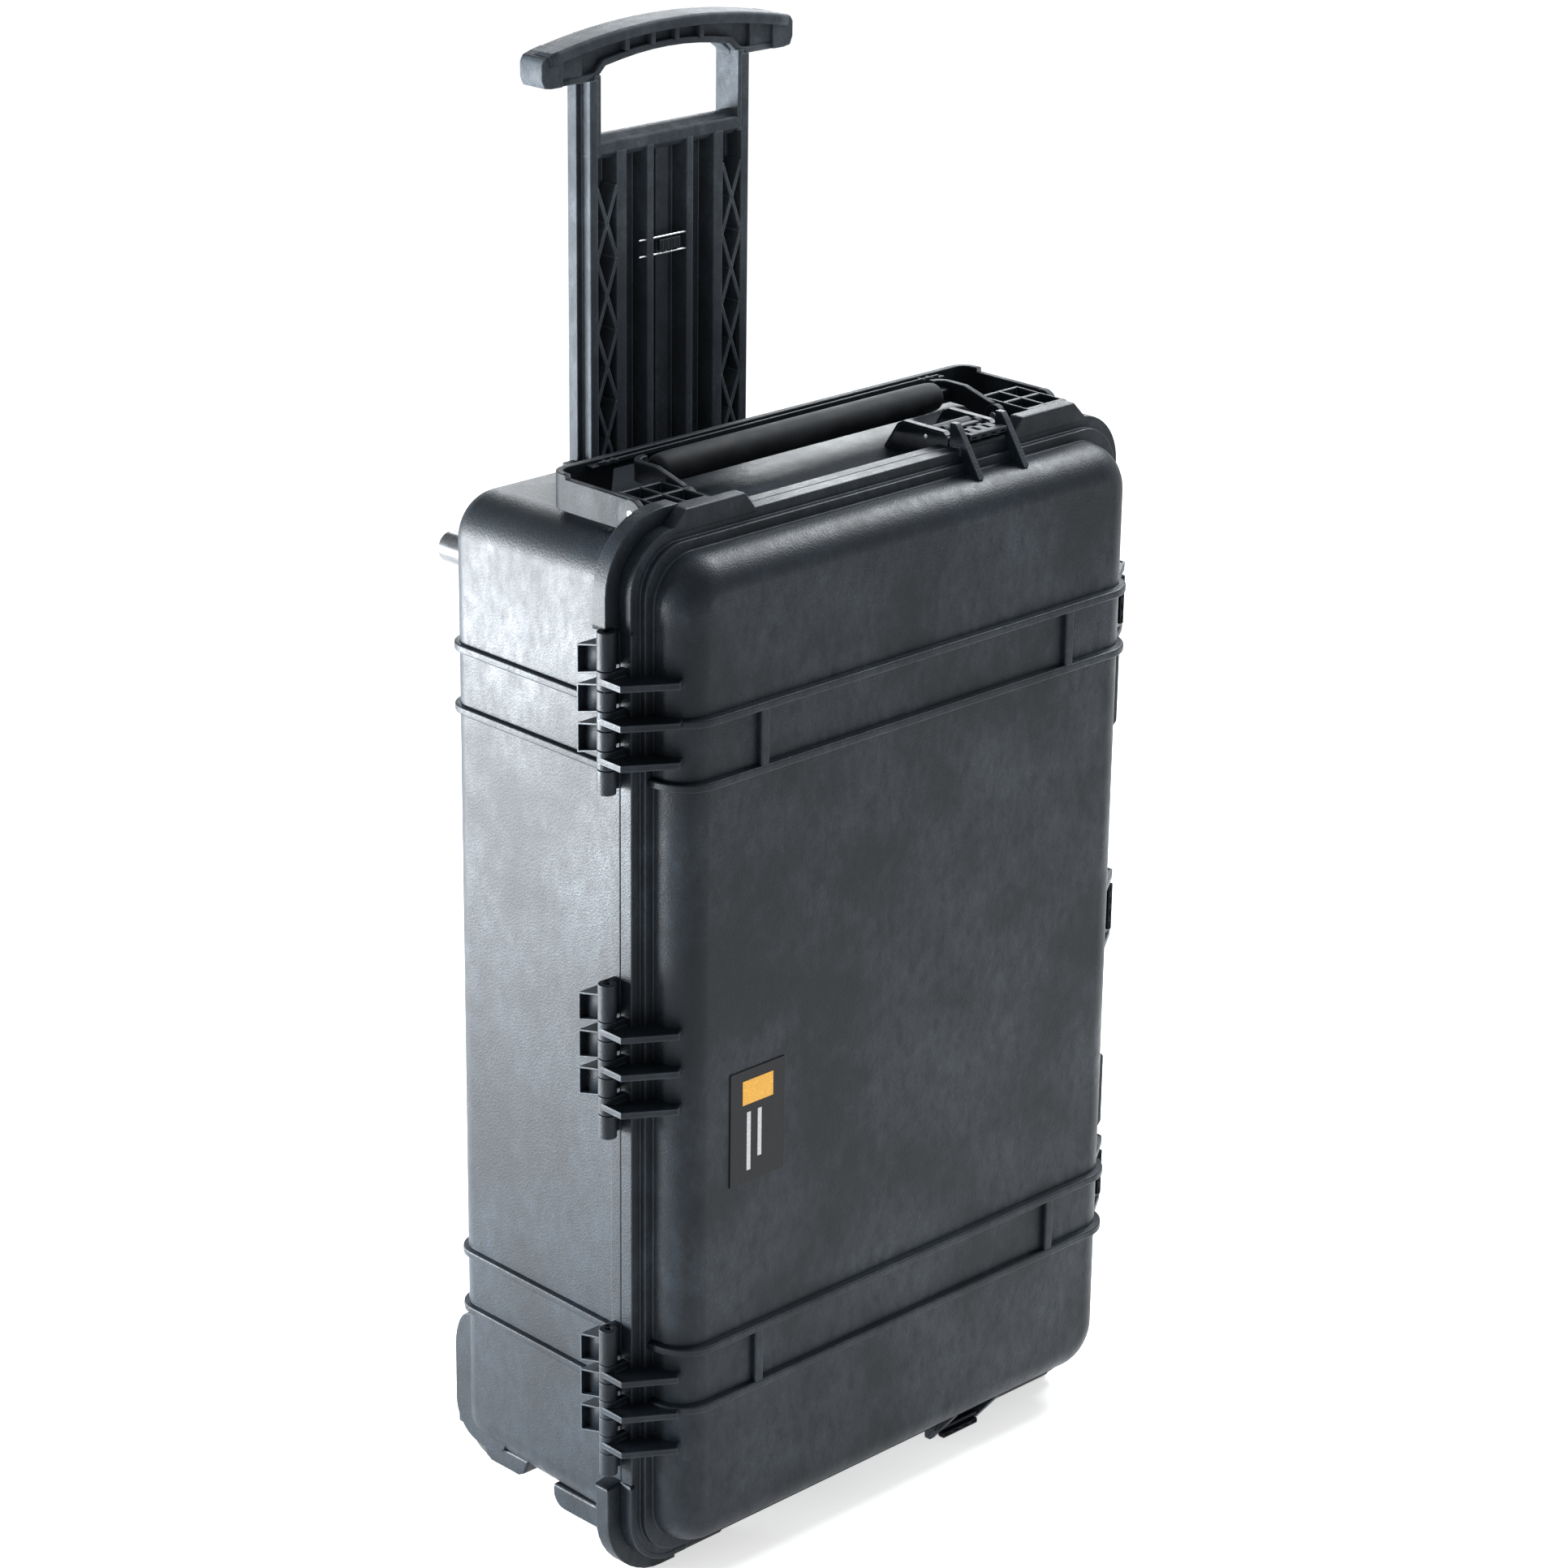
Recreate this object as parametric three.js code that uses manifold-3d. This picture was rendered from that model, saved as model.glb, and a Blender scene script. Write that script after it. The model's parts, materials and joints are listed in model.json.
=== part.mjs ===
// Hard equipment case: a wheeled protective case that stands on its short end, with a shallow
// hinged lid at the front, a deep base behind it, five latches, two folding carry handles and a
// pull-out trolley handle on the back.
// Units are millimetres. +X is the latch side, -X the hinge side, +Y the back, +Z up.
// Everything is modelled about the shell's own middle, then moved so that the feet stand on z = 0
// and the origin is under the middle of the whole depth.
import * as THREE from 'three';
import { mergeVertices } from 'three/addons/utils/BufferGeometryUtils.js';
import Module from 'manifold-3d';

const wasm = await Module();
wasm.setup();

// ---------------------------------------------------------------- driving dimensions
const CENTRE_HEIGHT = 401;      // shell middle above the floor
const RIM_HALF_W = 238;         // outer edge of the parting flange
const RIM_TOP = 378;
const RIM_BOTTOM = -388;
const RIM_HALF_H = (RIM_TOP - RIM_BOTTOM) / 2;
const RIM_MIDDLE = (RIM_TOP + RIM_BOTTOM) / 2;
const RIM_RADIUS = 40;
const FRONT_Y = -131;           // lid front face
const SEAM_Y = -86;             // parting plane between lid and base
const BACK_Y = 106;             // base back face
const SEAM_GAP = 0.3;
const LID_INSET = 14;           // lid wall inboard of the flange edge
const BASE_INSET = 12;          // base wall inboard of the flange edge
const BASE_DRAFT = 4;
const WALL = 5;
const RIB_PROUD = 5;
const RIB_WIDTH = 7;
const RIB_HEIGHTS = [254, 209, -209, -254];   // the four band ribs, from the shell middle
const CROSSBAR_X = 151;

const HINGE_X = -250;
const HINGE_HEIGHTS = [260, 10, -250];
const KNUCKLE_ENDS = [57, 30, 16.2, 2.3, -11.5, -25.4, -39.2, -57];   // base knuckle first, then lid
const GUSSET_DROPS = [0, 27.7, 55.4];       // sloping struts between the base wall and the hinge
const KNUCKLE_RADIUS = 6.5;
const PIN_RADIUS = 2;

const LATCH_FIN_X = 23;         // latch fins either side of the latch centre
const FIN_THICKNESS = 4;
const HOOK_PIVOT = { y: -64, z: 3 };
const LEVER_PIVOT = { y: -74, z: 7.4 };

const HANDLE_PIVOT = { y: -58, z: 2 };
const OUTER_FRAME_HALF = 203;
const OUTER_FRAME_BACK = 24;
const INNER_FRAME_HALF = 153;
const INNER_FRAME_BACK = 0;
const HANDLE_PIN_RADIUS = 3;
const GRIP_CORE = { y: [-16, -6], z: [4, 14] };   // plastic bar inside the rubber grip
const BRACKET_SPAN = [155, 195];

const WHEEL = { x: 172, y: 112, z: 30 - CENTRE_HEIGHT, radius: 30, width: 32 };

const PANEL_HALF = 76;          // trolley panel and its T-shaped grip
const PANEL_Y = [120, 144];
const PANEL_BOTTOM = 72;
const POCKET_TOP = 562;
const POCKET_DEPTH = 16;
const WINDOW_HALF = 65;
const WINDOW_Z = [582, 634];
const GRIP_HALF = 120;
const GRIP_ENDS_Z = [620, 646];
const GRIP_CROWN_Z = 658;
const RAIL_Z = [-300, 350];
const CLIP_Z = [491, 503];
const CLIP_Y = PANEL_Y[0] + 1.8;
const TRUSS_SPAN = [51, 69];
const TRUSS_BAYS = 9;

const VALVE = { y: -30, z: 90 };          // on the latch side, inside the side handle

// ---------------------------------------------------------------- materials
function plastic(colour, roughness) {
  return new THREE.MeshStandardMaterial({ color: colour, roughness, metalness: 0 });
}
const SHELL = plastic(0x34383b, 0.55);
const TRIM = plastic(0x2a2d30, 0.5);
const RUBBER = plastic(0x1c1d1f, 0.7);
const LABEL = plastic(0x17181a, 0.35);
const STEEL = new THREE.MeshStandardMaterial({ color: 0xc4c7ca, roughness: 0.3, metalness: 1 });

// ---------------------------------------------------------------- solids
function solid(geometry) {
  const bare = geometry.clone();
  bare.deleteAttribute('normal');
  bare.deleteAttribute('uv');
  const merged = mergeVertices(bare, 1e-4);
  return new wasm.Manifold(new wasm.Mesh({
    numProp: 3,
    vertProperties: new Float32Array(merged.attributes.position.array),
    triVerts: new Uint32Array(merged.index.array),
  }));
}

function union(pieces) {
  return pieces.reduce((sum, piece) => sum.add(piece));
}

function meshOf(name, shape, material) {
  const { vertProperties, triVerts } = shape.getMesh();
  const geometry = new THREE.BufferGeometry();
  geometry.setAttribute('position', new THREE.Float32BufferAttribute(vertProperties, 3));
  geometry.setIndex(Array.from(triVerts));
  geometry.computeVertexNormals();
  const mesh = new THREE.Mesh(geometry, material);
  mesh.name = name;
  return mesh;
}

function box([x0, x1], [y0, y1], [z0, z1]) {
  const geometry = new THREE.BoxGeometry(x1 - x0, y1 - y0, z1 - z0);
  return solid(geometry.translate((x0 + x1) / 2, (y0 + y1) / 2, (z0 + z1) / 2));
}

function rodAlongX([x0, x1], y, z, radius, sides = 12) {
  const geometry = new THREE.CylinderGeometry(radius, radius, x1 - x0, sides);
  return solid(geometry.rotateZ(Math.PI / 2).translate((x0 + x1) / 2, y, z));
}

function rodAlongY(x, [y0, y1], z, radius, sides = 20) {
  const geometry = new THREE.CylinderGeometry(radius, radius, y1 - y0, sides);
  return solid(geometry.translate(x, (y0 + y1) / 2, z));
}

function rodAlongZ(x, y, [z0, z1], radius, sides = 10) {
  const geometry = new THREE.CylinderGeometry(radius, radius, z1 - z0, sides);
  return solid(geometry.rotateX(Math.PI / 2).translate(x, y, (z0 + z1) / 2));
}

function roundedRectangle(halfW, halfH, radius) {
  const shape = new THREE.Shape();
  shape.moveTo(halfW, -halfH + radius);
  shape.absarc(halfW - radius, halfH - radius, radius, 0, Math.PI / 2);
  shape.absarc(-halfW + radius, halfH - radius, radius, Math.PI / 2, Math.PI);
  shape.absarc(-halfW + radius, -halfH + radius, radius, Math.PI, 1.5 * Math.PI);
  shape.absarc(halfW - radius, -halfH + radius, radius, 1.5 * Math.PI, 2 * Math.PI);
  return shape;
}

function outline(points) {
  return new THREE.Shape(points.map(([a, b]) => new THREE.Vector2(a, b)));
}

// A shape drawn in x and z, extruded from y0 to y1.
function slabAlongY(shape, [y0, y1], curveSegments = 5) {
  const geometry = new THREE.ExtrudeGeometry(shape, { depth: y1 - y0, bevelEnabled: false, curveSegments });
  return solid(geometry.rotateX(Math.PI / 2).translate(0, y1, 0));
}

// A rounded rectangle about the rim's middle.
function rimSlab(halfW, halfH, radius, span) {
  return slabAlongY(roundedRectangle(halfW, halfH, radius), span).translate([0, 0, RIM_MIDDLE]);
}

// A shape drawn in y and z, extruded from x0 to x1.
function slabAlongX(shape, [x0, x1], curveSegments = 5) {
  const geometry = new THREE.ExtrudeGeometry(shape, { depth: x1 - x0, bevelEnabled: false, curveSegments });
  const drawnToWorld = new THREE.Matrix4().makeBasis(
    new THREE.Vector3(0, 1, 0), new THREE.Vector3(0, 0, 1), new THREE.Vector3(1, 0, 0));
  return solid(geometry.applyMatrix4(drawnToWorld).translate(x0, 0, 0));
}

// A shape drawn in x and y, extruded from z0 to z1.
function slabAlongZ(shape, [z0, z1], curveSegments = 5) {
  const geometry = new THREE.ExtrudeGeometry(shape, { depth: z1 - z0, bevelEnabled: false, curveSegments });
  return solid(geometry.translate(0, 0, z0));
}

// A shell block: full size at openY, drafted by `draft` and edge-rounded by `edge` at closedY.
function tray(halfW, halfH, radius, openY, closedY, edge, draft) {
  const overrun = edge + 4;
  const length = Math.abs(closedY - openY);
  const geometry = new THREE.ExtrudeGeometry(roundedRectangle(halfW, halfH, radius), {
    depth: length + overrun - 2 * edge, bevelEnabled: true, bevelThickness: edge, bevelSize: edge,
    bevelOffset: -edge, bevelSegments: 3, curveSegments: 4,
  });
  const towardBack = Math.sign(closedY - openY);
  geometry.rotateX(-towardBack * Math.PI / 2);
  geometry.translate(0, openY - towardBack * (overrun - edge), 0);
  const position = geometry.attributes.position;
  for (let i = 0; i < position.count; i += 1) {
    const t = Math.max(0, towardBack * (position.getY(i) - openY) / length);
    position.setX(i, position.getX(i) * (1 - draft * t / halfW));
    position.setZ(i, position.getZ(i) * (1 - draft * t / halfH));
  }
  geometry.translate(0, 0, RIM_MIDDLE);
  const keep = [Math.min(openY, closedY) - (towardBack < 0 ? 1 : 0),
    Math.max(openY, closedY) + (towardBack > 0 ? 1 : 0)];
  return solid(geometry).intersect(box([-400, 400], keep, [-500, 500]));
}

// The case's edges share one local frame: x along the edge, y to the back, z outward from the flange.
const EDGES = {
  top: { angle: 0, offset: [0, 0, RIM_TOP] },
  right: { angle: Math.PI / 2, offset: [RIM_HALF_W, 0, 0] },
  bottom: { angle: Math.PI, offset: [0, 0, RIM_BOTTOM] },
};

function edgeMatrix(edge) {
  const { angle, offset } = EDGES[edge];
  return new THREE.Matrix4().makeRotationY(angle).setPosition(...offset);
}

function onEdge(edge, shape) {
  return shape.transform(edgeMatrix(edge).toArray());
}

const LATCHES = [
  { name: 'top', edge: 'top', along: 97 },
  { name: 'bottom', edge: 'bottom', along: -97 },
  { name: 'side_upper', edge: 'right', along: -231 },
  { name: 'side_middle', edge: 'right', along: 11 },
  { name: 'side_lower', edge: 'right', along: 231 },
];
const HANDLES = [{ name: 'top', edge: 'top' }, { name: 'side', edge: 'right' }];

// ---------------------------------------------------------------- shells
function bandRibs(halfW, halfH, radius, openY, closedY, edge, draft, proud) {
  const grown = tray(halfW + proud, halfH + proud, radius + proud, openY,
    closedY + Math.sign(closedY - openY) * proud, edge + proud, draft);
  const bands = RIB_HEIGHTS.map((z) => box([-400, 400], [-400, 400],
    [z - RIB_WIDTH / 2, z + RIB_WIDTH / 2]));
  return { grown, ribs: grown.intersect(union(bands)) };
}

function crossbars(grown) {
  const bars = [];
  for (const side of [-1, 1]) {
    for (const [low, high] of [[209, 254], [-254, -209]]) {
      const x = side * CROSSBAR_X;
      bars.push(box([x - 4, x + 4], [FRONT_Y - 20, FRONT_Y + 4], [low, high]));
    }
  }
  return grown.intersect(union(bars));
}

function rimBlock(side) {
  const points = [[124, -3], [135, 12], [190, 12], [206, -3]];
  const corners = side > 0 ? points : points.map(([x, z]) => [-x, z]).reverse();
  return slabAlongY(outline(corners.reverse()), [SEAM_Y - 11, SEAM_Y - SEAM_GAP / 2]);
}

function lidLatchFin(x) {
  const profile = outline([[-86.6, -6], [-86.6, 9], [-90, 12], [-94, 12], [-99, 6], [-106, -6],
    [-116, -15], [-114, -19], [-97, -19]].reverse());
  return slabAlongX(profile, [x - FIN_THICKNESS / 2, x + FIN_THICKNESS / 2]);
}

function baseLatchFin(x) {
  const profile = outline([[-85.4, -6], [-85.4, 6], [-81, 10], [-42, 10], [-37, 7], [-25, -13],
    [-28, -17], [-80, -17]]);
  const fin = slabAlongX(profile, [x - FIN_THICKNESS / 2, x + FIN_THICKNESS / 2]);
  return fin.subtract(rodAlongX([x - 9, x + 9], HOOK_PIVOT.y, HOOK_PIVOT.z, PIN_RADIUS + 0.3));
}

function latchFins(fin) {
  return union(LATCHES.flatMap(({ edge, along }) => [-LATCH_FIN_X, LATCH_FIN_X]
    .map((aside) => onEdge(edge, fin(along + aside)))));
}

function knuckleSpan(hingeHeight, index) {
  return [hingeHeight + KNUCKLE_ENDS[index + 1] + 0.3, hingeHeight + KNUCKLE_ENDS[index] - 0.3];
}

function lidHingeSide() {
  const pieces = [];
  for (const height of HINGE_HEIGHTS) {
    for (const index of [1, 3, 5]) {
      const span = knuckleSpan(height, index);
      const middle = (span[0] + span[1]) / 2;
      pieces.push(rodAlongZ(HINGE_X, SEAM_Y, span, KNUCKLE_RADIUS, 12));
      pieces.push(box([HINGE_X, -236], [SEAM_Y - KNUCKLE_RADIUS, SEAM_Y - 1.5], span));
      const fin = outline([[-256.5, -87], [-257.5, -109], [-226, -131], [-219, -122], [-236, -90]]);
      pieces.push(slabAlongZ(fin, [middle - 1.5, middle + 1.5]));
    }
  }
  return union(pieces);
}

function baseHingeSide() {
  const pieces = [];
  for (const height of HINGE_HEIGHTS) {
    for (const index of [0, 2, 4, 6]) {
      const span = knuckleSpan(height, index);
      pieces.push(rodAlongZ(HINGE_X, SEAM_Y, span, KNUCKLE_RADIUS, 12));
      pieces.push(box([HINGE_X, -236], [SEAM_Y + 1.5, SEAM_Y + KNUCKLE_RADIUS], span));
    }
    for (const drop of GUSSET_DROPS) {
      const foot = height - drop;
      const strut = outline([[-33, foot - 8], [-33, foot + 13], [-75, foot + 29], [-75, foot + 9]].reverse());
      pieces.push(slabAlongX(strut, [-246, -216]));
    }
  }
  return union(pieces);
}

function hingeBores() {
  return union(HINGE_HEIGHTS.map((height) => rodAlongZ(HINGE_X, SEAM_Y,
    [height - 70, height + 70], PIN_RADIUS + 0.3)));
}

// A band round the rim, between two insets from the rim's edge.
function rimRing(outset, inset, [y0, y1]) {
  return rimSlab(RIM_HALF_W - outset, RIM_HALF_H - outset, RIM_RADIUS - 5, [y0, y1])
    .subtract(rimSlab(RIM_HALF_W - inset, RIM_HALF_H - inset, RIM_RADIUS - 11, [y0 - 1, y1 + 1]));
}

function lidShell() {
  const wall = [RIM_HALF_W - LID_INSET, RIM_HALF_H - LID_INSET, 34];
  const outer = tray(...wall, SEAM_Y, FRONT_Y, 22, 4);
  const { grown, ribs } = bandRibs(...wall, SEAM_Y, FRONT_Y, 22, 4, RIB_PROUD);
  const flange = rimSlab(RIM_HALF_W, RIM_HALF_H, RIM_RADIUS, [SEAM_Y - 11, SEAM_Y]);
  const step = rimSlab(RIM_HALF_W - 8, RIM_HALF_H - 8, RIM_RADIUS - 6, [SEAM_Y - 16, SEAM_Y]);
  let body = union([outer, ribs, crossbars(grown), flange, step, lidHingeSide()]);
  for (const edge of ['top', 'right']) {
    body = body.add(onEdge(edge, rimBlock(1))).add(onEdge(edge, rimBlock(-1)));
  }
  const cavity = tray(wall[0] - WALL, wall[1] - WALL, wall[2] - WALL, SEAM_Y, FRONT_Y + WALL, 18, 4);
  const groove = rimRing(4.5, 10.5, [SEAM_Y - 4.5, SEAM_Y + 1]);
  const behindSeam = box([-236, 300], [SEAM_Y - SEAM_GAP / 2, SEAM_Y + 30], [-500, 500]);
  return union([body, latchFins(lidLatchFin)])
    .subtract(cavity).subtract(groove).subtract(behindSeam).subtract(hingeBores());
}

function bracketBlock(side) {
  const [inner, outer] = BRACKET_SPAN;
  const span = side > 0 ? [inner, outer] : [-outer, -inner];
  let block = box(span, [-85.4, -36], [-18, 11]);
  const pocketWidth = 16;
  const middle = (span[0] + span[1]) / 2;
  for (const x of [middle - 9.5, middle + 9.5]) {
    for (const y of [-70, -48]) {
      block = block.subtract(box([x - pocketWidth / 2, x + pocketWidth / 2], [y - 9, y + 9], [-8, 12]));
    }
  }
  return block.subtract(rodAlongX([span[0] - 5, span[1] + 5], HANDLE_PIVOT.y, HANDLE_PIVOT.z, 3.3));
}

function frontFoot(side) {
  const span = side > 0 ? [137, 214] : [-214, -137];
  const profile = new THREE.Shape();
  profile.moveTo(-85.4, -18);
  profile.lineTo(14, -18);
  profile.absarc(2, -12, 12, 0, Math.PI / 2, false);
  profile.lineTo(-64, 0);
  profile.lineTo(-70, 13);
  profile.lineTo(-82, 13);
  profile.lineTo(-85.4, 10);
  return slabAlongX(profile, span);
}

function middleFoot(side) {
  const span = side > 0 ? [190, 216] : [-216, -190];
  return slabAlongX(outline([[38, -26], [92, -26], [86, -13], [80, -10], [50, -10], [43, -14]]), span);
}

function wheelHousing(side) {
  const span = side > 0 ? [134, 218] : [-218, -134];
  const profile = outline([[80, -364], [104, -360], [115, -346], [115, -280], [106, -264], [80, -264]]);
  return slabAlongX(profile, span);
}

// Block beside each wheel that takes the knocks at the back's lower corner.
function rearBumper(side) {
  const span = side > 0 ? [193, 208] : [-208, -193];
  const profile = new THREE.Shape();
  profile.moveTo(98, -368);
  profile.lineTo(134, -368);
  profile.absarc(126, -338, 8, 0, Math.PI / 2, false);
  profile.lineTo(98, -330);
  return slabAlongX(profile, span);
}

function wheelWell(side, grow) {
  const x = side * WHEEL.x;
  const half = WHEEL.width / 2 + 4 + grow;
  return box([x - half, x + half], [WHEEL.y - WHEEL.radius - 4 - grow, 160],
    [-420, WHEEL.z + WHEEL.radius + 4 + grow]);
}

function baseShell() {
  const wall = [RIM_HALF_W - BASE_INSET, RIM_HALF_H - BASE_INSET, 32];
  const outer = tray(...wall, SEAM_Y, BACK_Y, 18, BASE_DRAFT);
  const { ribs } = bandRibs(...wall, SEAM_Y, BACK_Y, 18, BASE_DRAFT, 4);
  const flange = rimSlab(RIM_HALF_W, RIM_HALF_H, RIM_RADIUS, [SEAM_Y, SEAM_Y + 10]);
  const step = rimSlab(RIM_HALF_W - 7, RIM_HALF_H - 7, RIM_RADIUS - 4, [SEAM_Y, SEAM_Y + 13]);
  let body = union([outer, ribs, flange, step, baseHingeSide()]);
  for (const { edge } of HANDLES) {
    body = body.add(onEdge(edge, bracketBlock(1))).add(onEdge(edge, bracketBlock(-1)));
  }
  body = body.add(latchFins(baseLatchFin));
  let cavity = tray(wall[0] - WALL, wall[1] - WALL, wall[2] - WALL, SEAM_Y, BACK_Y - WALL, 14, BASE_DRAFT);
  for (const side of [-1, 1]) {
    body = body.add(onEdge('bottom', frontFoot(side))).add(onEdge('bottom', middleFoot(side)));
    body = body.add(wheelHousing(side)).add(rearBumper(side));
    cavity = cavity.subtract(wheelWell(side, WALL));
  }
  const aheadOfSeam = box([-236, 300], [SEAM_Y - 30, SEAM_Y + SEAM_GAP / 2], [-500, 500]);
  body = body.subtract(cavity).subtract(aheadOfSeam).subtract(hingeBores());
  for (const side of [-1, 1]) {
    body = body.subtract(wheelWell(side, 0));
    body = body.subtract(rodAlongX([side * WHEEL.x - 40, side * WHEEL.x + 40], WHEEL.y, WHEEL.z, 4.4));
  }
  return body.subtract(rodAlongX([RIM_HALF_W - 30, RIM_HALF_W], VALVE.y, VALVE.z, 7.4));
}

// ---------------------------------------------------------------- seal, label, valve
function lidGasket() {
  return rimRing(4.8, 10.2, [SEAM_Y - 4.2, SEAM_Y - 0.5]);
}

function labelPlate() {
  return box([-178, -126], [FRONT_Y - 1, FRONT_Y - 0.3], [-94, -9]);
}

function valveBody() {
  const { y, z } = VALVE;
  return union([
    rodAlongX([RIM_HALF_W - 12.6, RIM_HALF_W - 5], y, z, 13, 20),
    rodAlongX([RIM_HALF_W - 25, RIM_HALF_W - 10], y, z, 7, 16),
  ]);
}

function valveNut() {
  const { y, z } = VALVE;
  return rodAlongX([RIM_HALF_W - 24, RIM_HALF_W - 18.8], y, z, 12, 6)
    .subtract(rodAlongX([RIM_HALF_W - 30, RIM_HALF_W - 10], y, z, 7.4, 16));
}

// ---------------------------------------------------------------- latches, in an edge's own frame
function latchHook(along) {
  const half = 18.6;
  const ear = half - 5;
  const pivot = [HOOK_PIVOT.y, HOOK_PIVOT.z];
  let hook = union([
    rodAlongX([along - half, along + half], ...pivot, 6.5),
    box([along - half, along + half], [-100, HOOK_PIVOT.y], [0.8, 5.6]),
  ]);
  for (const side of [-1, 1]) {
    const span = side > 0 ? [along + ear, along + half] : [along - half, along - ear];
    hook = hook.add(rodAlongX(span, LEVER_PIVOT.y, LEVER_PIVOT.z, 4));
  }
  return hook
    .subtract(box([along - ear, along + ear], [LEVER_PIVOT.y - 5, LEVER_PIVOT.y + 4.5], [3.2, 14]))
    .subtract(rodAlongX([along - 30, along + 30], ...pivot, PIN_RADIUS + 0.3))
    .subtract(rodAlongX([along - 30, along + 30], LEVER_PIVOT.y, LEVER_PIVOT.z, 1.8, 12));
}

function latchLever(along) {
  const root = 13;
  const paddle = outline([[-77, 6.4], [-70.5, 6.4], [-70.5, 10.4], [-96, 10.6], [-101, 9.2],
    [-101, 6.4]].reverse());
  return slabAlongX(paddle, [along - root, along + root])
    .add(rodAlongX([along - root, along + root], LEVER_PIVOT.y, LEVER_PIVOT.z, 3.4))
    .add(box([along - 18.6, along + 18.6], [-101, -79.5], [6.4, 9.2]))
    .subtract(rodAlongX([along - 30, along + 30], LEVER_PIVOT.y, LEVER_PIVOT.z, 1.8, 12));
}

function latchPivotPin(along) {
  return rodAlongX([along - 25.5, along + 25.5], HOOK_PIVOT.y, HOOK_PIVOT.z, PIN_RADIUS, 12);
}

function latchLeverPin(along) {
  return rodAlongX([along - 18.8, along + 18.8], LEVER_PIVOT.y, LEVER_PIVOT.z, 1.5, 10);
}

// ---------------------------------------------------------------- carry handles, in an edge's own frame
function bail(half, back, radius, thickness, [z0, z1]) {
  const front = HANDLE_PIVOT.y - 20;
  const loop = (inset) => {
    const shape = new THREE.Shape();
    const r = radius - inset;
    shape.moveTo(half - inset, front - inset * 4);
    shape.absarc(half - inset - r, back - inset - r, r, 0, Math.PI / 2);
    shape.absarc(-half + inset + r, back - inset - r, r, Math.PI / 2, Math.PI);
    shape.lineTo(-half + inset, front - inset * 4);
    return shape;
  };
  return slabAlongZ(loop(0), [z0, z1]).subtract(slabAlongZ(loop(thickness), [z0 - 5, z1 + 5]));
}

// The side outline of a handle arm: round at the pivot, growing to [z0, z1] at the far end.
function armProfile(endRadius, back, [z0, z1], half) {
  const shape = new THREE.Shape();
  const { y, z } = HANDLE_PIVOT;
  shape.moveTo(y, z - endRadius);
  shape.lineTo(y + 22, z0);
  shape.lineTo(back + 2, z0);
  shape.lineTo(back + 2, z1);
  shape.lineTo(y + 38, z1);
  shape.lineTo(y, z + endRadius);
  shape.absarc(y, z, endRadius, Math.PI / 2, 1.5 * Math.PI, false);
  return slabAlongX(shape, [-half - 1, half + 1]);
}

function outerFrame() {
  const band = bail(OUTER_FRAME_HALF, OUTER_FRAME_BACK, 14, 5, [-11, 15])
    .intersect(armProfile(13, OUTER_FRAME_BACK, [-11, 15], OUTER_FRAME_HALF));
  const thinMiddle = box([-150, 150], [OUTER_FRAME_BACK - 8, OUTER_FRAME_BACK + 4], [-14, 5]);
  const lip = box([-176, 176], [OUTER_FRAME_BACK - 11, OUTER_FRAME_BACK - 3], [11, 15]);
  const { y, z } = HANDLE_PIVOT;
  return band.subtract(thinMiddle).add(lip)
    .subtract(rodAlongX([-220, 220], y, z, HANDLE_PIN_RADIUS + 0.3));
}

function innerFrame() {
  const band = bail(INNER_FRAME_HALF, INNER_FRAME_BACK, 12, 5, [-8, 18])
    .intersect(armProfile(8, INNER_FRAME_BACK, [3, 18], INNER_FRAME_HALF));
  const core = box([-149, 149], GRIP_CORE.y, GRIP_CORE.z);
  const { y, z } = HANDLE_PIVOT;
  return band.subtract(box([-138.2, 138.2], [-30, 10], [-10, 30])).add(core)
    .subtract(rodAlongX([-220, 220], y, z, HANDLE_PIN_RADIUS + 0.3));
}

function rubberGrip() {
  const { y, z } = GRIP_CORE;
  const gap = 0.3;
  return rodAlongX([-137.8, 137.8], (y[0] + y[1]) / 2, (z[0] + z[1]) / 2, 11, 18)
    .subtract(box([-150, 150], [y[0] - gap, y[1] + gap], [z[0] - gap, z[1] + gap]));
}

function handlePin(side) {
  const span = side > 0 ? [147, 204] : [-204, -147];
  return rodAlongX(span, HANDLE_PIVOT.y, HANDLE_PIVOT.z, HANDLE_PIN_RADIUS, 14);
}

// ---------------------------------------------------------------- trolley handle
function gripOutline() {
  const [low, high] = GRIP_ENDS_Z;
  const end = (high - low) / 2;
  const middle = (low + high) / 2;
  const shape = new THREE.Shape();
  shape.moveTo(-GRIP_HALF + end, low);
  shape.lineTo(GRIP_HALF - end, low);
  shape.absarc(GRIP_HALF - end, middle, end, -Math.PI / 2, Math.PI / 2);
  shape.quadraticCurveTo(0, 2 * GRIP_CROWN_Z - high, -GRIP_HALF + end, high);
  shape.absarc(-GRIP_HALF + end, middle, end, Math.PI / 2, 1.5 * Math.PI);
  return shape;
}

function windowOutline() {
  const [low, high] = WINDOW_Z;
  const w = WINDOW_HALF;
  return outline([[-w, low], [w, low], [w, high - 10], [w - 14, high], [-w + 14, high], [-w, high - 10]]);
}

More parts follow.
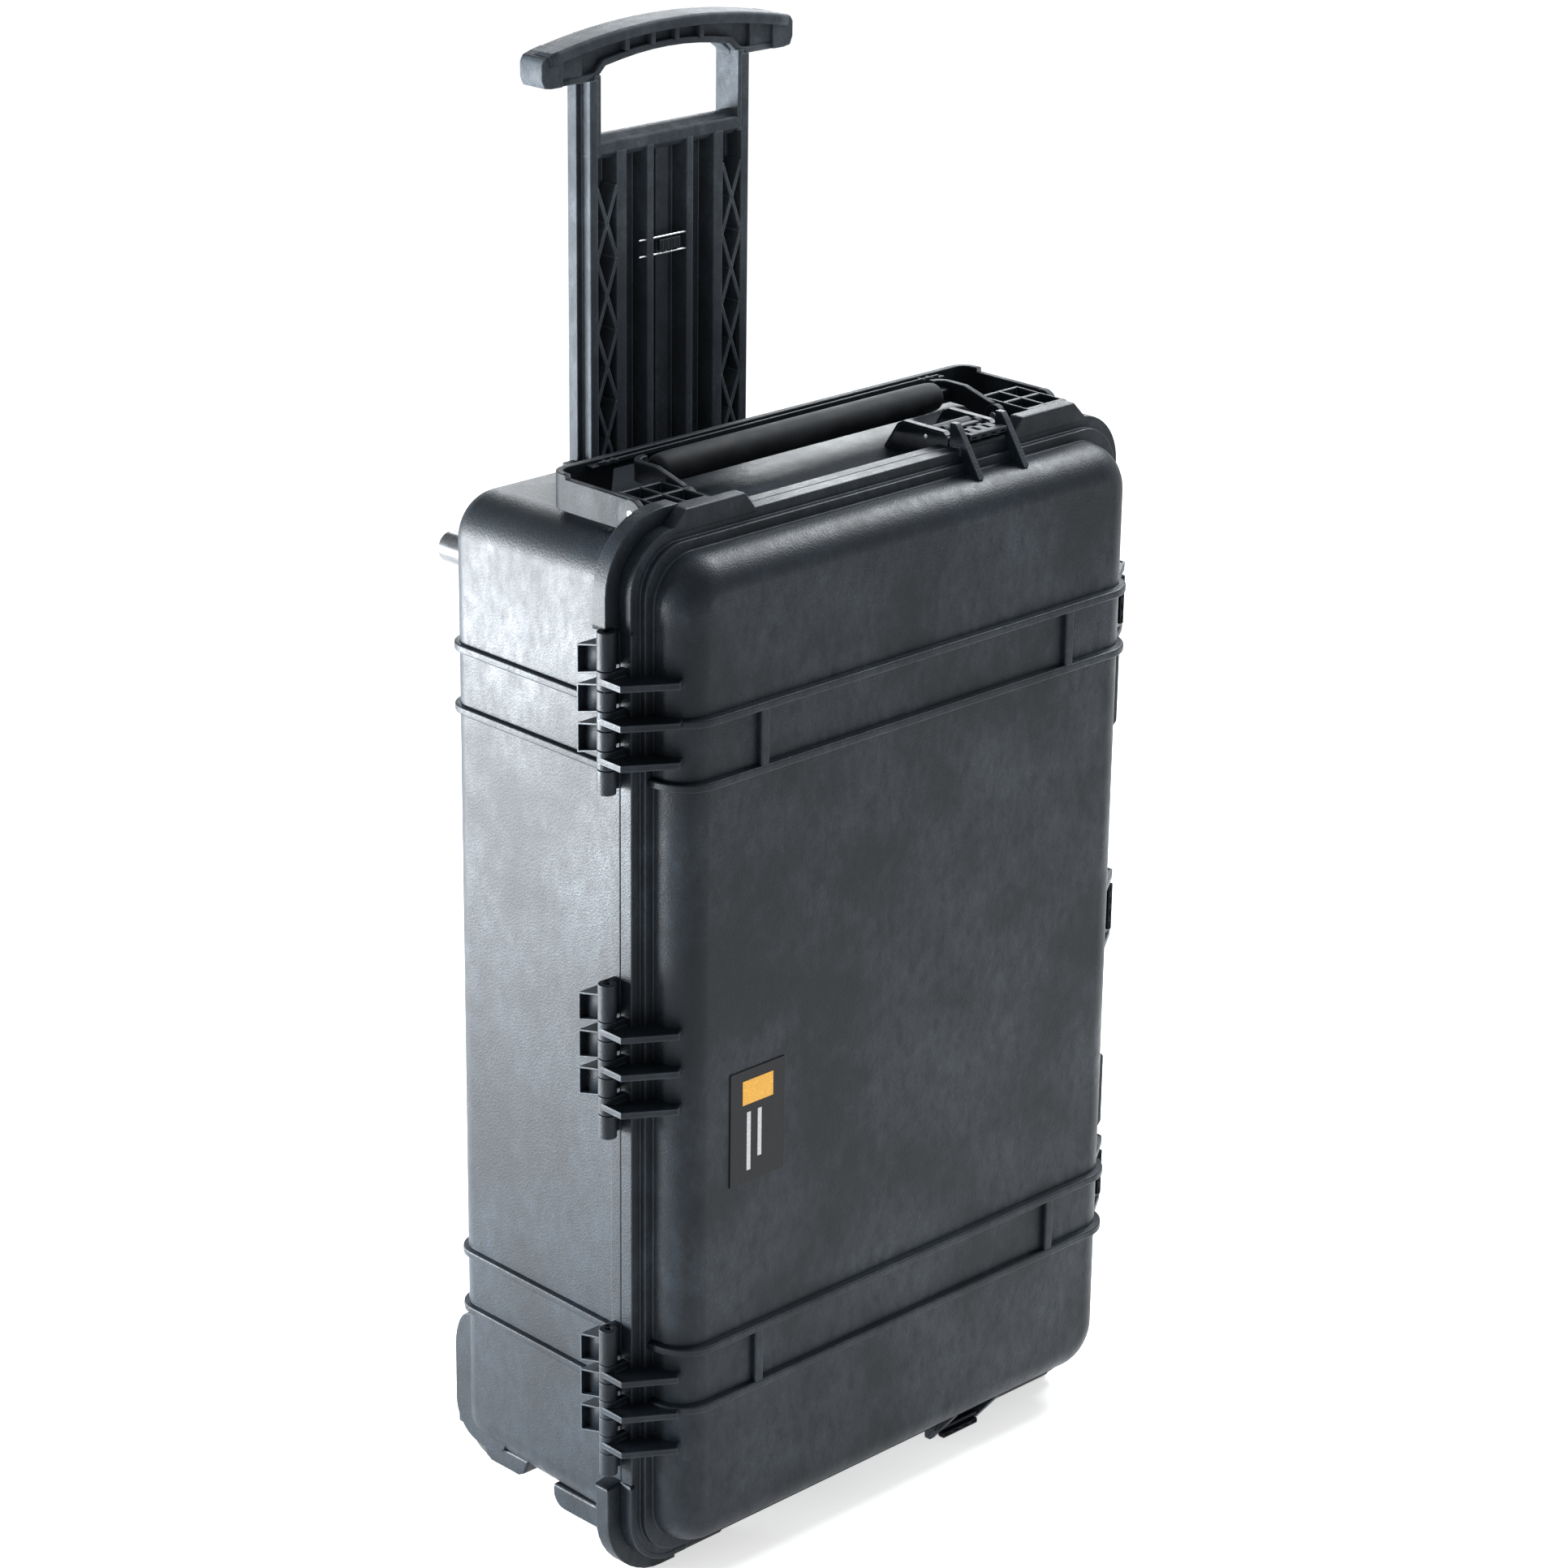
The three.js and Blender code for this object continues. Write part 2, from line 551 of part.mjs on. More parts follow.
// Diamond lattice left standing in the two outer pockets of the panel's front.
function trussPockets(side) {
  const [inner, outer] = TRUSS_SPAN;
  const middle = side * (inner + outer) / 2;
  const half = (outer - inner) / 2;
  const bay = (POCKET_TOP - PANEL_BOTTOM - 10) / TRUSS_BAYS;
  const floor = [PANEL_Y[0] - 1, PANEL_Y[0] + POCKET_DEPTH];
  const cuts = [];
  for (let i = 0; i < TRUSS_BAYS; i += 1) {
    const z = POCKET_TOP - bay * (i + 0.5);
    const reach = bay / 2 - 3.5;
    cuts.push(slabAlongY(outline([[middle - half + 2, z], [middle, z - reach], [middle + half - 2, z],
      [middle, z + reach]]), floor));
    if (i > 0) {
      const corner = z + bay / 2;
      for (const flank of [-1, 1]) {
        const wall = middle + flank * half;
        const points = [[wall, corner - reach], [wall, corner + reach], [middle + flank * 2.5, corner]];
        cuts.push(slabAlongY(outline(flank > 0 ? points : points.reverse()), floor));
      }
    }
  }
  return union(cuts);
}

function trolleyPanel() {
  const [front, back] = PANEL_Y;
  const pocketFloor = front + POCKET_DEPTH;
  const channel = (x0, x1, y0) => box([x0, x1], [y0, pocketFloor], [PANEL_BOTTOM + 12, POCKET_TOP]);
  let panel = box([-PANEL_HALF, PANEL_HALF], PANEL_Y, [PANEL_BOTTOM, GRIP_ENDS_Z[0] + 6])
    .add(slabAlongY(gripOutline(), PANEL_Y, 12))
    .subtract(slabAlongY(windowOutline(), [front - 5, back + 5]));
  for (const side of [-1, 1]) {
    const groove = side > 0 ? [PANEL_HALF - 5, PANEL_HALF + 5] : [-PANEL_HALF - 5, -PANEL_HALF + 5];
    panel = panel.subtract(box(groove, [front + 3.5, front + 14.5], [PANEL_BOTTOM - 5, 612]));
    panel = panel.subtract(side > 0 ? channel(22, 42, front - 1) : channel(-42, -22, front - 1));
    panel = panel.subtract(trussPockets(side));
  }
  panel = panel.subtract(channel(-16, 16, front - 1))
    .add(box([-6, 6], [front + 9, pocketFloor + 1], [PANEL_BOTTOM + 11, POCKET_TOP + 1]));
  for (const z of CLIP_Z) {
    panel = panel.subtract(rodAlongX([-40, 40], CLIP_Y, z, 2));
  }
  return panel.subtract(box([-27, 27], [CLIP_Y - 9, CLIP_Y + 2], [CLIP_Z[0] - 2, CLIP_Z[1] + 2]));
}

// A bent spring wire: two cross wires joined at one side.
function clipWire() {
  const wires = CLIP_Z.map((z) => rodAlongX([-30, 30], CLIP_Y, z, 1.5, 8));
  return union(wires).add(rodAlongZ(-29, CLIP_Y, CLIP_Z, 1.5, 8));
}

function clipBlock() {
  return box([-10, 10], [CLIP_Y - 1.5, CLIP_Y + 1.5], [CLIP_Z[0] + 1.9, CLIP_Z[1] - 1.9]);
}

// Rails on the base's back whose lips run in the panel's edge grooves.
function trolleyRail(side) {
  const wall = side > 0 ? [PANEL_HALF + 1.2, PANEL_HALF + 12] : [-PANEL_HALF - 12, -PANEL_HALF - 1.2];
  const lip = side > 0 ? [PANEL_HALF - 3.5, PANEL_HALF + 12] : [-PANEL_HALF - 12, -PANEL_HALF + 3.5];
  const rail = box(wall, [BACK_Y + 0.3, PANEL_Y[1] - 6], RAIL_Z)
    .add(box(lip, [PANEL_Y[0] + 4.7, PANEL_Y[0] + 13.3], RAIL_Z));
  const overRibs = RIB_HEIGHTS.map((z) => box([-200, 200], [BACK_Y - 1, BACK_Y + 4.6], [z - 4.5, z + 4.5]));
  return rail.subtract(union(overRibs));
}

// ---------------------------------------------------------------- wheels and feet
function wheelTyre(side) {
  const x = side * WHEEL.x;
  const half = WHEEL.width / 2;
  const profile = [[17.3, -half], [WHEEL.radius - 3, -half], [WHEEL.radius, -half + 4],
    [WHEEL.radius, half - 4], [WHEEL.radius - 3, half], [17.3, half], [17.3, -half]]
    .map(([r, h]) => new THREE.Vector2(r, h));
  return solid(new THREE.LatheGeometry(profile, 28).rotateZ(Math.PI / 2).translate(x, WHEEL.y, WHEEL.z));
}

function wheelHub(side) {
  const x = side * WHEEL.x;
  const half = WHEEL.width / 2 - 2;
  return rodAlongX([x - half, x + half], WHEEL.y, WHEEL.z, 17, 24)
    .subtract(rodAlongX([x - 30, x + 30], WHEEL.y, WHEEL.z, 11.3, 18));
}

function wheelBearing(side) {
  const x = side * WHEEL.x;
  return rodAlongX([x - 13, x + 13], WHEEL.y, WHEEL.z, 11, 18)
    .subtract(rodAlongX([x - 30, x + 30], WHEEL.y, WHEEL.z, 4.3, 14));
}

function wheelAxle(side) {
  const x = side * WHEEL.x;
  return rodAlongX([x - 23.5, x + 23.5].map((end) => end + side * 6), WHEEL.y, WHEEL.z, 4, 14);
}

function rearFoot(side) {
  const x = side * 188;
  return rodAlongY(x, [BACK_Y + 0.3, PANEL_Y[1]], 308, 11, 18);
}

// ---------------------------------------------------------------- assembly
const assembly = new THREE.Group();
assembly.position.set(0, -(FRONT_Y - RIB_PROUD + PANEL_Y[1]) / 2, CENTRE_HEIGHT);
assembly.add(
  meshOf('lid_shell', lidShell(), SHELL),
  meshOf('base_shell', baseShell(), SHELL),
  meshOf('lid_gasket', lidGasket(), RUBBER),
  meshOf('label_plate', labelPlate(), LABEL),
  meshOf('pressure_valve', valveBody(), TRIM),
  meshOf('pressure_valve_nut', valveNut(), TRIM),
);

['upper', 'middle', 'lower'].forEach((name, index) => {
  const span = [HINGE_HEIGHTS[index] - 57, HINGE_HEIGHTS[index] + 57];
  assembly.add(meshOf(`hinge_pin_${name}`, rodAlongZ(HINGE_X, SEAM_Y, span, PIN_RADIUS, 12), STEEL));
});

function edgeGroup(edge) {
  const group = new THREE.Group();
  group.applyMatrix4(edgeMatrix(edge));
  assembly.add(group);
  return group;
}

for (const { name, edge, along } of LATCHES) {
  edgeGroup(edge).add(
    meshOf(`latch_${name}_hook`, latchHook(along), TRIM),
    meshOf(`latch_${name}_lever`, latchLever(along), TRIM),
    meshOf(`latch_${name}_pivot_pin`, latchPivotPin(along), STEEL),
    meshOf(`latch_${name}_lever_pin`, latchLeverPin(along), STEEL),
  );
}

for (const { name, edge } of HANDLES) {
  edgeGroup(edge).add(
    meshOf(`${name}_handle_outer_frame`, outerFrame(), TRIM),
    meshOf(`${name}_handle_inner_frame`, innerFrame(), TRIM),
    meshOf(`${name}_handle_grip`, rubberGrip(), RUBBER),
    meshOf(`${name}_handle_pin_a`, handlePin(-1), STEEL),
    meshOf(`${name}_handle_pin_b`, handlePin(1), STEEL),
  );
}

assembly.add(
  meshOf('trolley_handle', trolleyPanel(), TRIM),
  meshOf('trolley_clip_wire', clipWire(), STEEL),
  meshOf('trolley_clip_block', clipBlock(), TRIM),
);

for (const [name, side] of [['left', -1], ['right', 1]]) {
  assembly.add(
    meshOf(`trolley_rail_${name}`, trolleyRail(side), TRIM),
    meshOf(`wheel_tyre_${name}`, wheelTyre(side), RUBBER),
    meshOf(`wheel_hub_${name}`, wheelHub(side), TRIM),
    meshOf(`wheel_bearing_${name}`, wheelBearing(side), STEEL),
    meshOf(`wheel_axle_${name}`, wheelAxle(side), STEEL),
    meshOf(`rear_foot_${name}`, rearFoot(side), RUBBER),
  );
}

export default new THREE.Group().add(assembly);
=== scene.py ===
"""Wheeled hard equipment case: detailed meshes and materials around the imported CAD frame.

Shapes are drawn in millimetres about the shell's middle, as +X the latch side, +Y the back and +Z up,
and turned into metres in the frame when a piece is made.
"""
import json
from math import cos, pi, radians, sin

import bmesh
import bpy
from mathutils import Matrix, Vector


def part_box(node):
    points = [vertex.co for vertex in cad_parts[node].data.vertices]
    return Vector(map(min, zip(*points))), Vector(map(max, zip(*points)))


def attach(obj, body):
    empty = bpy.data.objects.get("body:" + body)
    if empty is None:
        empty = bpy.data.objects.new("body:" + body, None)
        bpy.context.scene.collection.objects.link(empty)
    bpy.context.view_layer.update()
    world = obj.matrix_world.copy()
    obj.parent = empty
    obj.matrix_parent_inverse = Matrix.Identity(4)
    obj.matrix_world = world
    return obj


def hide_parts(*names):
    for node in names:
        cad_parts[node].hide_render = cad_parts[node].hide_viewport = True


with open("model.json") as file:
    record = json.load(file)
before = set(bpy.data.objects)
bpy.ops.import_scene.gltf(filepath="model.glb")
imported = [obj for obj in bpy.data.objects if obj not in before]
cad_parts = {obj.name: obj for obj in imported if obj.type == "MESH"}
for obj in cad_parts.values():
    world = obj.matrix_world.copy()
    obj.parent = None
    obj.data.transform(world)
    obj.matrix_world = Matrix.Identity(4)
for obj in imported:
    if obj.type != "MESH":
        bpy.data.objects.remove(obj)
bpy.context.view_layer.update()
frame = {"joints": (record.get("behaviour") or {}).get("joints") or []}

# -------------------- dimensions taken from the frame
MM = 0.001
JOINTS = {joint["name"]: joint for joint in frame["joints"]}
SEAM = -86                           # parting plane between lid and base, behind the shell's middle
HINGE_X, HINGE_Y, HINGE_Z = (value / MM for value in JOINTS["lid_hinge"]["pos_m"])
ORIGIN = Vector((0, HINGE_Y - SEAM, HINGE_Z))    # the shell's middle in the frame
TO_FRAME = Matrix.Translation(ORIGIN * MM) @ Matrix.Scale(MM, 4)


def cad_box(node):
    """A CAD node's lowest and highest corners, in millimetres about the shell's middle."""
    return [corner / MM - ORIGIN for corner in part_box(node)]


def joint_place(name):
    """A joint's place, in millimetres about the shell's middle."""
    return Vector(JOINTS[name]["pos_m"]) / MM - ORIGIN


GASKET_INSET = 4.8
GROOVE_INSETS, GROOVE_DEPTH = (4.5, 10.5), 4.4
RIM_W = cad_box("lid_gasket")[1].x + GASKET_INSET
RIM_TOP = cad_box("lid_gasket")[1].z + GASKET_INSET
RIM_BOTTOM = cad_box("lid_gasket")[0].z - GASKET_INSET
RIM_H = (RIM_TOP - RIM_BOTTOM) / 2
RIM_MIDDLE = (RIM_TOP + RIM_BOTTOM) / 2
RIM_RADIUS = 40
RIB_PROUD = 5
FRONT = cad_box("lid_shell")[0].y + RIB_PROUD
BACK = cad_box("rear_foot_left")[0].y - 0.3
HALF_GAP = 0.15                      # half the parting gap between lid and base
WALL = 5
LID_WALL = {"inset": 14, "radius": 34, "edge": 22, "draft": 4}
BASE_WALL = {"inset": 12, "radius": 32, "edge": 18, "draft": 4}
LID_FLANGE, LID_STEP = 11, 16        # how far the rim's two steps reach from the seam
BASE_FLANGE, BASE_STEP = 10, 13
RIB_WIDTH = 7
RIB_HEIGHTS = (254, 209, -209, -254)
CROSSBAR_X = 151

HINGE_HEIGHTS = [sum(corner.z for corner in cad_box(f"hinge_pin_{name}")) / 2
                 for name in ("upper", "middle", "lower")]
KNUCKLE_ENDS = (57, 30, 16.2, 2.3, -11.5, -25.4, -39.2, -57)     # base and lid in turn, from the top
KNUCKLE_RADIUS, KNUCKLE_GAP, PIN_BORE = 6.5, 0.3, 2.3
RIM_SIDE_X = -236                    # where hinge arms run into the shells' rims
STRUT_DROPS = (0, 27.7, 55.4)        # hollow struts below each hinge's middle
LATCH_FIN_X = 23
FOOT_SPAN, MIDDLE_FOOT_SPAN = (137, 214), (190, 216)
HOUSING_SPAN, BUMPER_SPAN = (134, 219), (193, 208)
WELL_HALF, WELL_REACH = 20, 34       # wheel recess: half its width, and its reach from the axle
CORNER_STEPS = 12
SIDES = ((-1, "left"), (1, "right"))


# -------------------- mesh kit
def side_span(side, span):
    """A span of distances from the middle, put on the left (-1) or the right (1), low end first."""
    return sorted(side * distance for distance in span)


def evenly(low, high, steps):
    """Evenly spaced values from low to high."""
    return [low + (high - low) * i / steps for i in range(steps + 1)]


def mirrored(run):
    """A run of points on the other side of the middle, in the opposite order."""
    return [(-point[0], *point[1:]) for point in reversed(run)]


def edge_matrix(edge):
    """The local frame of one edge of the case: x along it, y to the back, z outward."""
    turn, offset = {"top": (0, (0, 0, RIM_TOP)), "right": (pi / 2, (RIM_W, 0, 0)),
                    "bottom": (pi, (0, 0, RIM_BOTTOM))}[edge]
    return Matrix.Translation(offset) @ Matrix.Rotation(turn, 4, "Y")


class Solid:
    """Closed shapes gathered into one mesh, in millimetres about the shell's middle."""

    def __init__(self, matrix=None):
        self.matrix = matrix or Matrix.Identity(4)
        self.points = []
        self.faces = []

    def add(self, shape):
        points, faces = shape
        first = len(self.points)
        self.points += [self.matrix @ Vector(point) for point in points]
        self.faces += [[first + index for index in face] for face in faces]
        return self


def loft(rings, loop=False):
    """Closed skin over rings of equally many points, capped at both ends unless it loops."""
    size = len(rings[0])
    points = [point for ring in rings for point in ring]
    faces = []
    for i in range(len(rings) if loop else len(rings) - 1):
        here, there = i * size, (i + 1) % len(rings) * size
        for j in range(size):
            k = (j + 1) % size
            faces.append([here + j, here + k, there + k, there + j])
    if not loop:
        faces += [list(range(size)), list(range(len(points) - size, len(points)))]
    return points, faces


def rectangle(first, second):
    return [(first[0], second[0]), (first[1], second[0]), (first[1], second[1]), (first[0], second[1])]


def box(x, y, z):
    return loft([[(a, b, height) for a, b in rectangle(x, y)] for height in z])


def on_axis(axis, first, second, along):
    """A point from its two coordinates across an axis, in their usual order, and the one along it."""
    point = [first, second]
    point.insert("xyz".index(axis), along)
    return tuple(point)


def prism(outline, axis, span):
    """An outline in the two other coordinates, in their usual order, stretched along an axis."""
    return loft([[on_axis(axis, first, second, along) for first, second in outline] for along in span])


def lathe(profile, centre, axis, steps, hollow=False):
    """A profile of (along, radius) turned about an axis through centre."""
    angles = [2 * pi * i / steps for i in range(steps)]
    rings = []
    for along, radius in profile:
        ring = [on_axis(axis, radius * cos(angle), radius * sin(angle), along) for angle in angles]
        rings.append([Vector(point) + Vector(centre) for point in ring])
    return loft(rings, loop=hollow)


def soften(points, radius, closed=False, steps=3):
    """Rounds the corners of a run of points."""
    points = [Vector(point) for point in points]
    result = []
    for i, corner in enumerate(points):
        if not closed and i in (0, len(points) - 1):
            result.append(corner)
            continue
        before, after = points[i - 1] - corner, points[(i + 1) % len(points)] - corner
        start = corner + before * min(radius / before.length, 0.45)
        end = corner + after * min(radius / after.length, 0.45)
        for j in range(steps + 1):
            t = j / steps
            result.append(start * (1 - t) ** 2 + corner * 2 * t * (1 - t) + end * t ** 2)
    return result


def rod(span, radius, centre, axis, soft, steps):
    """A round bar with softened ends, its span and centre in the same frame."""
    low, high = span
    profile = soften([(low, radius * 0.02), (low, radius), (high, radius), (high, radius * 0.02)], soft)
    return lathe(profile, centre, axis, steps)


def sweep(path, section, side, across=(0, 0, 1), closed=False):
    """A section of (outward, across) offsets carried along a flat path, mitred at its corners."""
    across = Vector(across)
    path = [Vector(point) for point in path]
    last = len(path) - 1
    rings = []
    for i, point in enumerate(path):
        into = point - path[i - 1] if closed or i > 0 else path[1] - point
        out = path[(i + 1) % len(path)] - point if closed or i < last else into
        into, out = into.normalized(), out.normalized()
        normal = side * (into + out).normalized().cross(across)
        mitre = 1 / max(0.35, normal.dot(side * into.cross(across)))
        offsets = section(point) if callable(section) else section
        rings.append([point + normal * n * mitre + across * b for n, b in offsets])
    return loft(rings, loop=closed)


def soft_rectangle(first, second, radius):
    """A rectangle's outline from two spans, with its corners rounded."""
    return soften(rectangle(first, second), radius, closed=True)


def arc(centre, radius, start, end, steps=8):
    """Points on a round corner, its angles in degrees."""
    angles = [radians(angle) for angle in evenly(start, end, steps)]
    return [(centre[0] + radius * cos(angle), centre[1] + radius * sin(angle)) for angle in angles]


def new_object(name, data):
    made = bpy.data.objects.new(name, data)
    bpy.context.scene.collection.objects.link(made)
    return made


def add_solid(name, solid):
    """An object of a solid or a single shape, in metres in the frame, its faces turned outward."""
    if not isinstance(solid, Solid):
        solid = Solid().add(solid)
    mesh = bpy.data.meshes.new(name)
    mesh.from_pydata([TO_FRAME @ point for point in solid.points], [], solid.faces)
    work = bmesh.new()
    work.from_mesh(mesh)
    bmesh.ops.recalc_face_normals(work, faces=work.faces)
    work.to_mesh(mesh)
    work.free()
    return new_object(name, mesh)


def make_piece(name, solid, body, material, replaces=(), bevel=0, segments=2):
    """Turns a solid into an object that rides on a body, with softened edges."""
    piece = add_solid(name, solid)
    piece.data.shade_smooth()
    if bevel:
        modifier = piece.modifiers.new("edges", "BEVEL")
        modifier.width = bevel * MM
        modifier.segments = segments
        modifier.limit_method = "ANGLE"
        modifier.angle_limit = radians(35)
    weighted = piece.modifiers.new("normals", "WEIGHTED_NORMAL")
    weighted.keep_sharp = True
    slot_name, surface = material
    piece.data.materials.append(surface)
    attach(piece, body)
    if replaces:
        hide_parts(*replaces)
    return piece


def steel_pin(name, body, node, span, radius, centre, axis="x", soft=0.5, steps=20, matrix=None):
    """A round pin in the place of a CAD node."""
    pin = Solid(matrix).add(rod(span, radius, centre, axis, soft, steps))
    make_piece(name, pin, body, STEEL, (node,))


def cut_away(piece, solid):
    """Takes a solid out of a piece before its edges are softened."""
    cutter = add_solid("cutter", solid)
    for modifier in piece.modifiers:
        modifier.show_viewport = False
    boolean = piece.modifiers.new("cut", "BOOLEAN")
    boolean.operation = "DIFFERENCE"
    boolean.solver = "EXACT"
    boolean.object = cutter
    graph = bpy.context.evaluated_depsgraph_get()
    graph.update()
    piece.data = bpy.data.meshes.new_from_object(piece.evaluated_get(graph))
    piece.modifiers.remove(boolean)
    for modifier in piece.modifiers:
        modifier.show_viewport = True
    bpy.data.objects.remove(cutter)


# -------------------- materials
class Nodes:
    """Short way to add and join shader nodes."""

    def __init__(self, name):
        self.material = bpy.data.materials.new(name)
        self.material.use_nodes = True
        self.tree = self.material.node_tree
        self.shader = self.tree.nodes["Principled BSDF"]

    def add(self, kind, inputs=None, **settings):
        """A new node, with inputs given as values or as sockets to join."""
        made = self.tree.nodes.new(kind)
        for key, value in settings.items():
            setattr(made, key, value)
        for key, value in (inputs or {}).items():
            if isinstance(value, bpy.types.NodeSocket):
                self.tree.links.new(value, made.inputs[key])
            else:
                made.inputs[key].default_value = value
        return made

    def place(self, turn=(0, 0, 0), scale=(1, 1, 1)):
        """The surface's own coordinates, turned and stretched."""
        own = self.add("ShaderNodeTexCoord").outputs["Object"]
        mapping = self.add("ShaderNodeMapping", {"Vector": own, "Rotation": turn, "Scale": scale})
        return mapping.outputs["Vector"]

    def noise(self, where, scale, detail, rough):
        made = self.add("ShaderNodeTexNoise",
                        {"Vector": where, "Scale": scale, "Detail": detail, "Roughness": rough})
        return made.outputs["Fac"]

    def spread(self, value, source, target):
        """Maps a value from one range to another and clamps it."""
        made = self.add("ShaderNodeMapRange", {"Value": value, "From Min": source[0], "From Max": source[1],
                                              "To Min": target[0], "To Max": target[1]})
        return made.outputs["Result"]

    def maths(self, operation, first, second):
        return self.add("ShaderNodeMath", {0: first, 1: second}, operation=operation).outputs[0]

    def mix(self, factor, first, second):
        made = self.add("ShaderNodeMix", data_type="RGBA")
        self.tree.links.new(factor, made.inputs[0])
        for socket, colour in ((made.inputs[6], first), (made.inputs[7], second)):
            if isinstance(colour, bpy.types.NodeSocket):
                self.tree.links.new(colour, socket)
            else:
                socket.default_value = (*colour, 1)
        return made.outputs[2]

    def bump(self, height, strength, distance):
        made = self.add("ShaderNodeBump", {"Height": height, "Strength": strength, "Distance": distance})
        return made.outputs["Normal"]

    def edges(self, radius):
        """Near 1 along convex and concave edges and 0 on flat faces."""
        rounded = self.add("ShaderNodeBevel", {"Radius": radius}, samples=4).outputs["Normal"]
        plain = self.add("ShaderNodeNewGeometry").outputs["Normal"]
        same = self.add("ShaderNodeVectorMath", {0: rounded, 1: plain}, operation="DOT_PRODUCT")
        return self.spread(same.outputs["Value"], (0.99, 0.8), (0, 1))

    def drive(self, **sockets):
        """Joins sockets to the main shader and gives the material."""
        names = {"colour": "Base Color", "roughness": "Roughness", "normal": "Normal"}
        for key, value in sockets.items():
            self.tree.links.new(value, self.shader.inputs[names[key]])
        return self.material


def moulded_plastic(name, dark, light, roughness, gloss, patches=1.0):
    """Grained black plastic with rubbed, blotchy sheen in short slanting strokes, and a lighter colour along
    its edges that is partly edge wear and partly a painted highlight.
    """
    made = Nodes(name)
    plain = made.place()
    strokes = made.noise(made.place((radians(35), radians(-35), radians(15)), (1, 1, 0.5)), 120, 6, 0.68)
    broad = made.noise(plain, 10, 5, 0.6)
    mottling = made.maths("MULTIPLY", made.spread(strokes, (0.35, 0.68), (0.25, 1)),
                          made.spread(broad, (0.38, 0.66), (0.1, 1)))
    rubbed = made.maths("MULTIPLY", mottling, patches)
    # painted highlight along edges, partly edge wear: a mask near 1 on edges, made uneven by the broad noise
    edge_wear_and_highlight = made.maths("MULTIPLY", made.edges(0.0013), made.spread(broad, (0.3, 0.6), (0.35, 0.9)))
    speckle = made.spread(made.noise(plain, 420, 3, 0.7), (0.4, 0.7), (0, 0.5))
    shade = made.maths("MULTIPLY", rubbed, made.maths("ADD", speckle, 0.75))
    grain = made.noise(plain, 1300, 2, 0.6)
    pits = made.add("ShaderNodeTexVoronoi", {"Vector": plain, "Scale": 620}).outputs["Distance"]
    height = made.maths("ADD", grain, pits)
    made.shader.inputs["Specular IOR Level"].default_value = gloss
    # the lighter colour on edges: a painted highlight, partly edge wear
    wear_and_highlight_colour = tuple(channel * 2.4 + 0.03 for channel in light)
    return made.drive(colour=made.mix(edge_wear_and_highlight, made.mix(shade, dark, light), wear_and_highlight_colour),
                      roughness=made.spread(rubbed, (0, 0.7), roughness),
                      normal=made.bump(height, 0.45, 0.00024))


def soft_rubber(name, dark, light, roughness, gloss=0.45):
    """Rubber with a fine matt grain and faint handling marks."""
    made = Nodes(name)
    plain = made.place()
    marks = made.noise(plain, 45, 5, 0.65)
    fine = made.noise(plain, 900, 2, 0.5)
    made.shader.inputs["Specular IOR Level"].default_value = gloss
    return made.drive(colour=made.mix(made.spread(marks, (0.4, 0.7), (0, 1)), dark, light),
                      roughness=made.spread(marks, (0.35, 0.7), roughness),
                      normal=made.bump(fine, 0.3, 0.0002))


def drawn_steel(name, colour, roughness, along=(1, 1, 1)):
    """Bright steel with fine drawn lines."""
    made = Nodes(name)
    lines = made.noise(made.place(scale=along), 900, 3, 0.6)
    tone = made.noise(made.place(), 120, 3, 0.6)
    made.shader.inputs["Metallic"].default_value = 1.0
    pale = tuple(min(1, channel * 1.15) for channel in colour)
    return made.drive(colour=made.mix(tone, colour, pale),
                      roughness=made.spread(lines, (0.3, 0.7), roughness),
                      normal=made.bump(lines, 0.12, 0.0001))


def printed_film(name, colour, roughness, gloss=0.4):
    """A thin printed film with slight waviness and dust."""
    made = Nodes(name)
    plain = made.place()
    dust = made.noise(plain, 700, 4, 0.7)
    wave = made.noise(plain, 60, 2, 0.5)
    pale = tuple(channel * 1.5 + 0.004 for channel in colour)
    made.shader.inputs["Specular IOR Level"].default_value = gloss
    return made.drive(colour=made.mix(made.spread(dust, (0.5, 0.75), (0, 1)), colour, pale),
                      roughness=made.spread(dust, (0.3, 0.7), roughness),
                      normal=made.bump(wave, 0.1, 0.0004))


# Each surface with the material slot it belongs to.
SHELL = ("shell_polypropylene",
         moulded_plastic("moulded_shell", dark=(0.0045, 0.007, 0.01), light=(0.024, 0.033, 0.044),
                         roughness=(0.52, 0.37), gloss=0.22))
TRIM = ("trim_plastic",
        moulded_plastic("moulded_trim", dark=(0.006, 0.008, 0.0105), light=(0.02, 0.026, 0.033),
                        roughness=(0.54, 0.4), patches=0.7, gloss=0.1))
TROLLEY = ("trolley_nylon",
           moulded_plastic("moulded_trolley", dark=(0.026, 0.031, 0.038), light=(0.082, 0.098, 0.114),
                           roughness=(0.6, 0.45), patches=0.8, gloss=0.1))
GRIP = ("soft_rubber",
        soft_rubber("soft_grip", (0.006, 0.007, 0.009), (0.015, 0.018, 0.021), (0.6, 0.72), gloss=0.14))
STUD = ("soft_rubber",
        soft_rubber("stud", (0.03, 0.033, 0.036), (0.08, 0.085, 0.09), (0.3, 0.42), gloss=0.5))
SEAL = ("seal_rubber", soft_rubber("seal", (0.012, 0.012, 0.013), (0.022, 0.022, 0.024), (0.5, 0.65)))
TYRE = ("wheel_polyurethane", soft_rubber("tyre", (0.014, 0.015, 0.016), (0.035, 0.036, 0.04), (0.45, 0.7)))
STEEL = ("stainless_steel", drawn_steel("stainless", (0.62, 0.63, 0.65), (0.2, 0.36), (1, 1, 0.2)))
